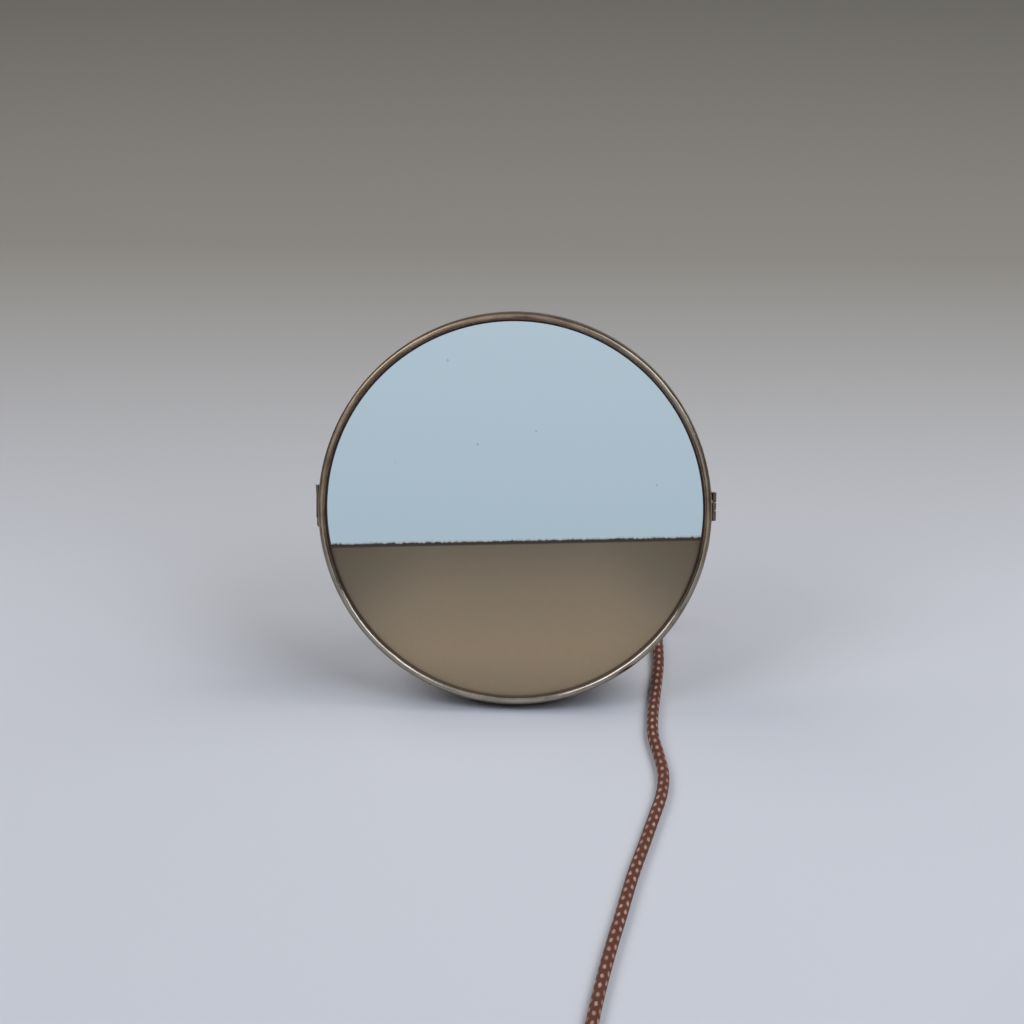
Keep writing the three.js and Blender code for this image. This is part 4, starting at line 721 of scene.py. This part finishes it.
# The skirt is dull as the hinge is, and bare brass shows in the nicks.
dull = node(tree, "ValToRGB", {"stops": list(zip((0.3, 0.5, 0.65, 0.85), dull_tones))}, {"Fac": cloud})
on_skirt = node(tree, "MapRange", {"From": (2.0, 4.0), "To Max": 0.85}, {"Value": depth})
colour = node(tree, "Mix", COLOURS, {0: on_skirt, 6: colour, 7: dull})
bare = node(tree, "MapRange", {"From": (0.58, 0.7), "To Max": 0.35}, {"Value": nicks})
colour = node(tree, "Mix", {**COLOURS, 7: linear("#a8754a")}, {0: bare, 6: colour})
rough = node(tree, "Math MULTIPLY_ADD", {1: 0.4, 2: 0.12}, {0: tone})
rough = node(tree, "Math MULTIPLY_ADD", {1: -0.18}, {0: paler_and_highlit, 2: rough})
scored = node(tree, "Math MULTIPLY_ADD", {1: 0.5}, {0: nicks, 2: lines})
bump = node(tree, "Bump", {"Strength": 0.3, "Distance": 0.00012}, {"Height": scored})
join(shader, {"Base Color": colour, "Roughness": rough, "Normal": bump})
piece("rolled_ring", lean(ring_grid), "door", "nickel", rubbed, ("door_ring",),
      wrap=(True, True), uv=ring_run)


# Glass: one disc of 3 mm plate, silvered above, etched below to let the lamp through.
# The silver ends in a ragged dark line that rises a little to the right.
GLASS_TURN, SILVER_DROP, FRAY, GRIT = np.radians(2.4), 17.5, 1.4286, 0.7143
glass, tree, shader = finish("part_silvered_plate_glass", {"Specular IOR Level": 0.25})
place = head_place(tree)
split = node(tree, "SeparateXYZ", links={"Vector": place})
# Height over the silver's lower edge, with the fray of that edge added for the silver.
edge_way = (-np.sin(GLASS_TURN), 0, np.cos(GLASS_TURN))
above = node(tree, "VectorMath DOT_PRODUCT", {1: edge_way}, {0: place})
above = node(tree, "Math ADD", {1: SILVER_DROP}, {0: above})
slanted = node(tree, "Mapping", {"Scale": (0.9, 1.0, 0.35), "Rotation": (0, 0.5, 0)}, {"Vector": place})
fray = node(tree, "TexNoise", {"Scale": 1 / FRAY, "Detail": 5.0, "Roughness": 0.7}, {"Vector": slanted})
frayed = node(tree, "Math MULTIPLY_ADD", {1: 3.0}, {0: fray, 2: above})
silver = node(tree, "MapRange", {"From": (2.0, 2.6)}, {"Value": frayed})
halo = node(tree, "MapRange", {"From": (3.4, 2.5)}, {"Value": frayed})
# Etched part: grey-brown, with painted light and shade of the casing's inside seen through it:
# darker just under the silver, into the corners and at the bottom, palest low in the middle.
painted_light_level = node(tree, "MapRange", {"From": (0.0, -55.0), "To": (0.3, 0.9)}, {"Value": above})
aside = node(tree, "Math ABSOLUTE", links={0: split.outputs["X"]})
side = node(tree, "MapRange", {"From": (40.0, 102.0), "To Max": 0.3, **SOFT}, {"Value": aside})
bottom_shade = node(tree, "MapRange", {"From": (-80.0, -104.0), "To Max": 0.3}, {"Value": split.outputs["Z"]})
for shadow in (side, bottom_shade):
    painted_light_level = node(tree, "Math SUBTRACT", links={0: painted_light_level, 1: shadow})
# Painted light and shade: the etched tones follow the level, less the sides and the bottom.
etched_lit_and_shaded = node(tree, "ValToRGB", {"stops": [
    (0.0, "#6c604d"), (0.3, "#7f725f"), (0.6, "#9b8a72"), (0.9, "#aa9577")]}, {"Fac": painted_light_level})
grit = node(tree, "TexNoise", {"Scale": 1 / GRIT, "Detail": 4.0}, {"Vector": place})
etched_lit_and_shaded = node(tree, "Mix", {**COLOURS, "blend_type": "OVERLAY", 0: 0.12},
              {6: etched_lit_and_shaded, 7: grit.outputs["Color"]})
edge_line = node(tree, "MapRange", {"From": (-1.5, -0.8)}, {"Value": above})
lower = node(tree, "Mix", {**COLOURS, 7: linear("#443d35")}, {0: edge_line, 6: etched_lit_and_shaded})
# Silver: a clean mirror, warmer and duller in a narrow halo along its edge.
haze = node(tree, "Math MULTIPLY", {1: 0.8}, {0: halo})
mirror = node(tree, "Mix", {**COLOURS, 6: linear("#f3f5f6"), 7: linear("#cdc8bd")}, {0: haze})
# Specks where the silver has gone, by head x and z and their radius, all in millimetres.
flat = node(tree, "VectorMath MULTIPLY", {1: (1, 0, 1)}, {0: place})
for x, z, size in (
        (-36.6, 78.9, 0.9), (-20.1, 34.6, 1.0), (10.9, 42.2, 0.7), (75.5, 14.6, 0.7), (-64.0, 24.0, 0.5)):
    far = node(tree, "VectorMath DISTANCE", {1: (x, 0, z)}, {0: flat})
    far = node(tree, "Math MULTIPLY_ADD", {1: 0.8}, {0: grit, 2: far})
    speck = node(tree, "MapRange", {"From": (size + 0.4, 0.3 * size + 0.4), "To Max": 0.36},
                 {"Value": far})
    mirror = node(tree, "Mix", {**COLOURS, 7: linear("#84827c")}, {0: speck, 6: mirror})
colour = node(tree, "Mix", COLOURS, {0: silver, 6: lower, 7: mirror})
metal = node(tree, "Math MULTIPLY_ADD", {1: -0.35}, {0: halo, 2: silver})
metal = node(tree, "Math MAXIMUM", {1: 0.0}, {0: metal})
rough = node(tree, "MapRange", {"To": (0.6, 0.03)}, {"Value": silver})
dulled = node(tree, "Math MULTIPLY", links={0: halo, 1: silver})
rough = node(tree, "Math MULTIPLY_ADD", {1: 0.3}, {0: dulled, 2: rough})
etch = node(tree, "Math MULTIPLY_ADD", {1: -0.15, 2: 0.15}, {0: silver})
bump = node(tree, "Bump", {"Distance": 0.0001}, {"Height": grit, "Strength": etch})
join(shader, {"Base Color": colour, "Metallic": metal, "Roughness": rough, "Normal": bump})
GLASS_RADIUS, GLASS_FRONT, GLASS_BACK = 103.7, 3.3, 6.3
grid, _ = turned(eased([
    (0, GLASS_FRONT), (GLASS_RADIUS, GLASS_FRONT), (GLASS_RADIUS, GLASS_BACK), (0, GLASS_BACK)], 0.4))
piece("mirror_glass", lean(grid), "door", "glass", glass, ("glass_disc",))


# Behind and before the glass: a felt ring in front, red-lead paint brushed on the back of the silver,
# and a split brass ring sprung into the skirt behind them.
# Felt: dark brown and quite matt, with painted light making it paler towards the bottom.
FELT_HAIR = 0.3333
felt, tree, shader = finish("brown_felt", {"Roughness": 0.95, "Sheen Weight": 0.4})
place = head_place(tree)
fuzz = node(tree, "TexNoise", {"Scale": 1 / FELT_HAIR, "Detail": 4.0}, {"Vector": place})
dyed = node(tree, "ValToRGB", {"stops": [(0.3, "#2b1c17"), (0.7, "#48332b")]}, {"Fac": fuzz})
drop = node(tree, "SeparateXYZ", links={"Vector": place}).outputs["Z"]
# Painted light: the felt is paler towards the bottom.
painted_light_below = node(tree, "MapRange", {"From": (-35.0, -95.0), "To Max": 0.6}, {"Value": drop})
join(shader, {
    "Base Color": node(tree, "Mix", {**COLOURS, 7: linear("#7d6c5a")}, {0: painted_light_below, 6: dyed})})
FELT_INNER, FELT_FRONT, FELT_BACK = 100.3, 2.5, 3.1
grid, _ = turned(eased([
    (FELT_INNER, FELT_FRONT), (GLASS_RADIUS, FELT_FRONT), (GLASS_RADIUS, FELT_BACK),
    (FELT_INNER, FELT_BACK)], 0.15, closed=True))
piece("felt_packing", lean(grid), "door", "felt", felt, ("glass_packing",), wrap=(True, True))
# Red lead: a thick oil paint, half matt, with the strokes of a wide brush left in it.
STROKE = 1.4286
paint, tree, shader = finish("red_lead_paint", {"Roughness": 0.55})
brushed = node(tree, "Mapping", {"Scale": (0.06, 1.0, 0.8), "Rotation": (0, 0.12, 0)},
               {"Vector": head_place(tree)})
strokes = node(tree, "TexNoise", {"Scale": 1 / STROKE, "Detail": 5.0}, {"Vector": brushed})
red = node(tree, "ValToRGB", {"stops": [(0.3, "#622f23"), (0.7, "#7d4030")]}, {"Fac": strokes})
bump = node(tree, "Bump", {"Strength": 0.3, "Distance": 0.0003}, {"Height": strokes})
join(shader, {"Base Color": red, "Normal": bump})
dress("silver_backing", paint)
HOOP_RADIUS, HOOP_DEPTH, HOOP_GAP = 102.2, 7.9, 2.3
hoop_turn = np.radians(np.linspace(-90 + HOOP_GAP, 270 - HOOP_GAP, 240))
outward = np.stack([np.cos(hoop_turn), 0 * hoop_turn, np.sin(hoop_turn)], 1)[:, None]
section = eased([(-1.7, -0.6), (1.7, -0.6), (1.7, 0.6), (-1.7, 0.6)], 0.25, closed=True)
hoop = (HOOP_RADIUS + section[:, :1]) * outward + (HOOP_DEPTH + section[:, 1:]) * (0, 1, 0)
piece("split_ring", lean(hoop), "door", "brass", brass, ("retaining_ring",), ends=True)


# Hinge: a leaf on the ring with one knuckle, a leaf on the casing with two, and a pin through them.
# All are nickelled brass gone dull; the end knuckles are filed away towards the ring.
HINGE_SPOT, KNUCKLE, NECK = (106.0, 14.7), 1.4, 0.85


def pressed(outline, low, high, order="xyz", edge=0.2):
    """A plate: its outline with eased corners, drawn in by edge at both faces, carried from low to
    high. order says which way the outline's two directions and the thickness run."""
    line = eased(outline, 2 * edge, closed=True)
    way = np.roll(line, -1, 0) - np.roll(line, 1, 0)
    way /= np.linalg.norm(way, axis=1)[:, None]
    inward = np.stack([-way[:, 1], way[:, 0]], 1)
    turn = np.sign(np.sum(line[:, 0] * np.roll(line[:, 1], -1) - line[:, 1] * np.roll(line[:, 0], -1)))
    rows = [np.insert(line + turn * draw * inward, 2, height, axis=1) for draw, height in (
        (edge, low), (0.3 * edge, low + 0.3 * edge), (0, low + edge), (0, high - edge),
        (0.3 * edge, high - 0.3 * edge), (edge, high))]
    return np.stack(rows)[..., [order.index(axis) for axis in "xyz"]]


def knuckle(name, low, high, body, stands_for=(), radius=KNUCKLE):
    """A rolled knuckle: a short round with eased rims, its outer side flush with the others."""
    spot = (HINGE_SPOT[0] + KNUCKLE - radius, HINGE_SPOT[1], 0)
    rim = eased([(0, low), (radius, low), (radius, high), (0, high)], 0.2)
    grid, _ = turned(rim, spot, (0, 0, 1), 28)
    return piece(name, lean(grid), body, "nickel", dull_nickel, stands_for)


def leaf(name, near, far, low, high, body):
    """A hinge plate between two corners of head x and y, from low to high."""
    outline = [(near[0], near[1]), (far[0], near[1]), (far[0], far[1]), (near[0], far[1])]
    return piece(name, lean(pressed(outline, low, high)), body, "nickel", dull_nickel, ends=True)


knuckle("hinge_knuckle_middle", 0.55, 4.45, "door", ("hinge_leaf_door",))
leaf("hinge_leaf_front", (105.3, 7.3), (106.1, 14.7), 0.55, 4.45, "door")
knuckle("hinge_knuckle_low", -5.0, -1.0, "case", ("hinge_leaf_case",))
knuckle("hinge_neck_low", -1.2, 0.05, "case", radius=NECK)
knuckle("hinge_neck_high", 4.95, 6.2, "case", radius=NECK)
knuckle("hinge_knuckle_high", 6.0, 10.0, "case")
leaf("hinge_leaf_back", (104.2, 16.3), (105.0, 21.0), -5.0, 10.0, "case")
leaf("hinge_leaf_arm_low", (104.2, 14.9), (105.0, 16.5), -5.0, -1.2, "case")
leaf("hinge_leaf_arm_high", (104.2, 14.9), (105.0, 16.5), 6.2, 10.0, "case")
pin = eased([(0, -5.35), (0.7, -5.3), (0.7, 10.3), (0, 10.35)], 0.15)
grid, _ = turned(pin, (*HINGE_SPOT, 0), (0, 0, 1), 20)
piece("hinge_pin_round", lean(grid), "case", "nickel", nickel, ("hinge_pin",))


# Clasp: a sprung tongue of nickelled brass strip that snaps over the ring and is lifted by its bent
# tip, on a base riveted to the casing. Both are as dull as the hinge.
tongue = [
    (-105.3, -7.2), (-105.3, 11.0), (-106.5, 11.1), (-106.75, 10.9), (-106.35, 6.0), (-106.25, -6.6)]
base = [(-104.2, -13.2), (-104.2, -9.2), (-106.9, -8.4), (-106.9, -11.9), (-105.9, -13.0)]
TONGUE_FRONT, TONGUE_BACK, TONGUE_TAPER = 5.0, 19.0, 0.012
strip = pressed(tongue, TONGUE_FRONT, TONGUE_BACK, "xzy")
strip[..., 2] *= 1 - TONGUE_TAPER * (strip[..., 1] - TONGUE_FRONT)
piece("clasp_spring_strip", lean(strip), "clasp", "nickel", dull_nickel, ("clasp_tongue",), ends=True)
foot = pressed(base, 13.5, TONGUE_BACK, "xzy")
piece("clasp_foot", lean(foot), "case", "nickel", dull_nickel, ("clasp_base",), ends=True)


# Stand: one length of nickelled wire bent to a bail, its ends turned in through two riveted lugs.
# It swings out to prop the mirror and folds flat against the back.
STAND_HALF, STAND_OPEN, PIVOT, LEG, WIRE_END = 54.0, np.radians(27), (50.3, 12.0), 101.79, 43.0
BAIL_RADIUS = 0.00186
half_bail = np.array([(WIRE_END, 0.0), (STAND_HALF, 0), (STAND_HALF, -LEG)])
corners = np.vstack([half_bail, half_bail[::-1] * (-1, 1)])
# Each corner is a parabola between the points set back from it by its cut.
cuts = np.array([0, 5, 16, 16, 5, 0])[:, None]
ways = np.diff(corners, axis=0) / np.linalg.norm(np.diff(corners, axis=0), axis=1)[:, None]
into = (corners - cuts * np.vstack([ways[:1], ways]))[:, None]
away = (corners + cuts * np.vstack([ways, ways[-1:]]))[:, None]
t = np.linspace(0, 1, 14)[None, :, None]
bail = ((1 - t) ** 2 * into + 2 * t * (1 - t) * corners[:, None] + t**2 * away)[1:-1].reshape(-1, 2)
bail = np.vstack([corners[:1], bail, corners[-1:]])
across, down = bail.T
bail = np.stack([across, PIVOT[0] - down * np.sin(STAND_OPEN), PIVOT[1] + down * np.cos(STAND_OPEN)], 1)
leg_way = np.array([[0, np.cos(STAND_OPEN - LEAN), np.sin(STAND_OPEN - LEAN)]])
rings, _ = tube(lean(bail), BAIL_RADIUS, 24, leg_way)
piece("wire_bail", rings, "stand", "nickel", nickel, ("stand_bail",), crease=60)


# Switch: a bakelite body inside the casing, and outside it a threaded bush, a knurled ring nut that
# clamps it to the back, and a ball lever, all turned from brass and nickelled.
SWITCH_ACROSS, SWITCH_HEIGHT = 46.0, 40.0


def at_switch(name, profile, body, stands_for, way=(0, 1, 0), depth=0.0, flutes=(0, 0.0), ease=0.2):
    """A turned piece on the switch's axis, its corners eased."""
    grid, _ = turned(eased(profile, ease), (SWITCH_ACROSS, depth, SWITCH_HEIGHT), way, 120, flutes)
    return piece(name, lean(grid), body, "nickel", nickel, (stands_for,))


at_switch("threaded_bush", np.vstack([
    [(3.4, 38.9), (5.5, 38.9), (5.5, 46.0)], thread(5.5, 46.4, 52.2, 17),
    [(4.9, 52.9), (3.4, 52.9), (3.4, 38.9)]]), "case", "switch_bush", ease=0.12)
at_switch("knurled_ring_nut", [(5.6, 46.3), (9, 46.3), (9, 47.9), (8, 48.9), (5.6, 48.9), (5.6, 46.3)],
          "case", "switch_ring_nut", flutes=(40, 0.25))
LEVER_TIP, LEVER_DEPTH = np.radians(12), 47.9
at_switch("ball_lever", [
    (0, -3), (1.8, -2.4), (2.8, -1), (2.8, 1), (1.5, 2.6), (1.5, 7), (2.1, 12), (2.5, 15), (1.7, 17),
    (0, 17.6)], "lever", "switch_lever", (0, np.cos(LEVER_TIP), -np.sin(LEVER_TIP)), LEVER_DEPTH, ease=1.2)


# Gland: a moulded bakelite bush, held by its nut inside the casing, with a flange outside and a long
# tapered tail with seven shallow grooves that keeps the cord from kinking.
GLAND_ACROSS, GLAND_DROP, TAIL_GROOVES = 68.02, 20.0, 7
tail = np.linspace(0, 1, 25)[:, None]
grooves = 0.22 * (0.5 - 0.5 * np.cos(2 * np.pi * TAIL_GROOVES * tail)) * np.sin(np.pi * tail) ** 0.5
flange = eased([(3.3, 40.2), (5, 40.2), (5, 46.3), (7.5, 46.3), (7.5, 48.3), (6.3, 48.8)], 0.4)
tail = np.hstack([6.2 - 1.7 * tail - grooves, 48.9 + 19.7 * tail])
grid, _ = turned(np.vstack([flange, tail, [(4.3, 68.8), (3.1, 68.8), (3.1, 40.2)]]),
                 (GLAND_ACROSS, 0, -GLAND_DROP), sides=64)
piece("tapered_gland", lean(grid), "case", "bakelite", bakelite, ("cord_gland",))


# Plug: a round two-pin plug moulded from bakelite, waisted for the fingers, with turned brass pins.
# It lies beside the coil and points forward along the table.
PLUG_SPOT = (52, -464, 14)


def at_plug(name, profile, slot, look, stands_for, aside=0.0):
    """A turned piece along the plug's axis, its corners eased."""
    x, y, z = PLUG_SPOT
    grid, _ = turned(eased(profile, 0.6), (x + aside, y, z), (0, -1, 0), 96)
    return piece(name, grid / 1000, "case", slot, look, (stands_for,))


plug = at_plug("bakelite_plug", [
    (0, 0), (5.5, 0), (7, 2), (7, 4), (6.6, 5), (7, 6), (7, 8), (12.5, 17), (14, 20), (14, 27),
    (13.5, 28), (14, 29), (14, 34.5), (12.5, 36), (0, 36)], "bakelite", bakelite, "plug_body")
pin = [(0, 26.4), (2, 26.4), (2, 53.5), (1.2, 55), (0, 55)]
pins = [at_plug("brass_pin_" + side, pin, "brass", brass, "plug_pin_" + side, aside)
        for side, aside in (("left", -9.5), ("right", 9.5))]


# Tie: a strip of cream cotton tape, 6 mm wide, wound once round the coil and stitched flat.
# The tape is matt, with ribs of its weave across it.
TIE_LOW, TIE_HIGH, TIE_NEAR, TIE_FAR, TAPE_RIB = 0.5, 15.0, -451.05, -473.7, 0.00098
loop = eased([(TIE_FAR, TIE_LOW), (TIE_NEAR, TIE_LOW), (TIE_NEAR, TIE_HIGH), (TIE_FAR, TIE_HIGH)],
             4.0, 12, closed=True)
way = np.roll(loop, -1, 0) - np.roll(loop, 1, 0)
way /= np.linalg.norm(way, axis=1)[:, None]
outward = np.stack([way[:, 1], -way[:, 0]], 1)
section = eased([(-3, -0.4), (3, -0.4), (3, 0.4), (-3, 0.4)], 0.25, closed=True)
band = np.concatenate([
    np.broadcast_to(COIL_SPOT[0] + section[None, :, :1], (len(loop), len(section), 1)),
    loop[:, None] + section[None, :, 1:] * outward[:, None]], 2)
tape, tree, shader = finish("cream_cotton_tape", {"Roughness": 0.9, "Sheen Weight": 0.3})
rib = node(tree, "TexWave", {"Scale": WAVE_STEP / TAPE_RIB, "bands_direction": "X"},
           {"Vector": node(tree, "TexCoord").outputs["Object"]}).outputs["Fac"]
cream = node(tree, "ValToRGB", {"stops": [(0.2, "#b9ab92"), (0.8, "#d9cdb6")]}, {"Fac": rib})
bump = node(tree, "Bump", {"Strength": 0.4, "Distance": 0.0002}, {"Height": rib})
join(shader, {"Base Color": cream, "Normal": bump})
tie = piece("cotton_tie", band / 1000, "case", "cotton_tape", tape, ("cord_tie",), wrap=(True, True))
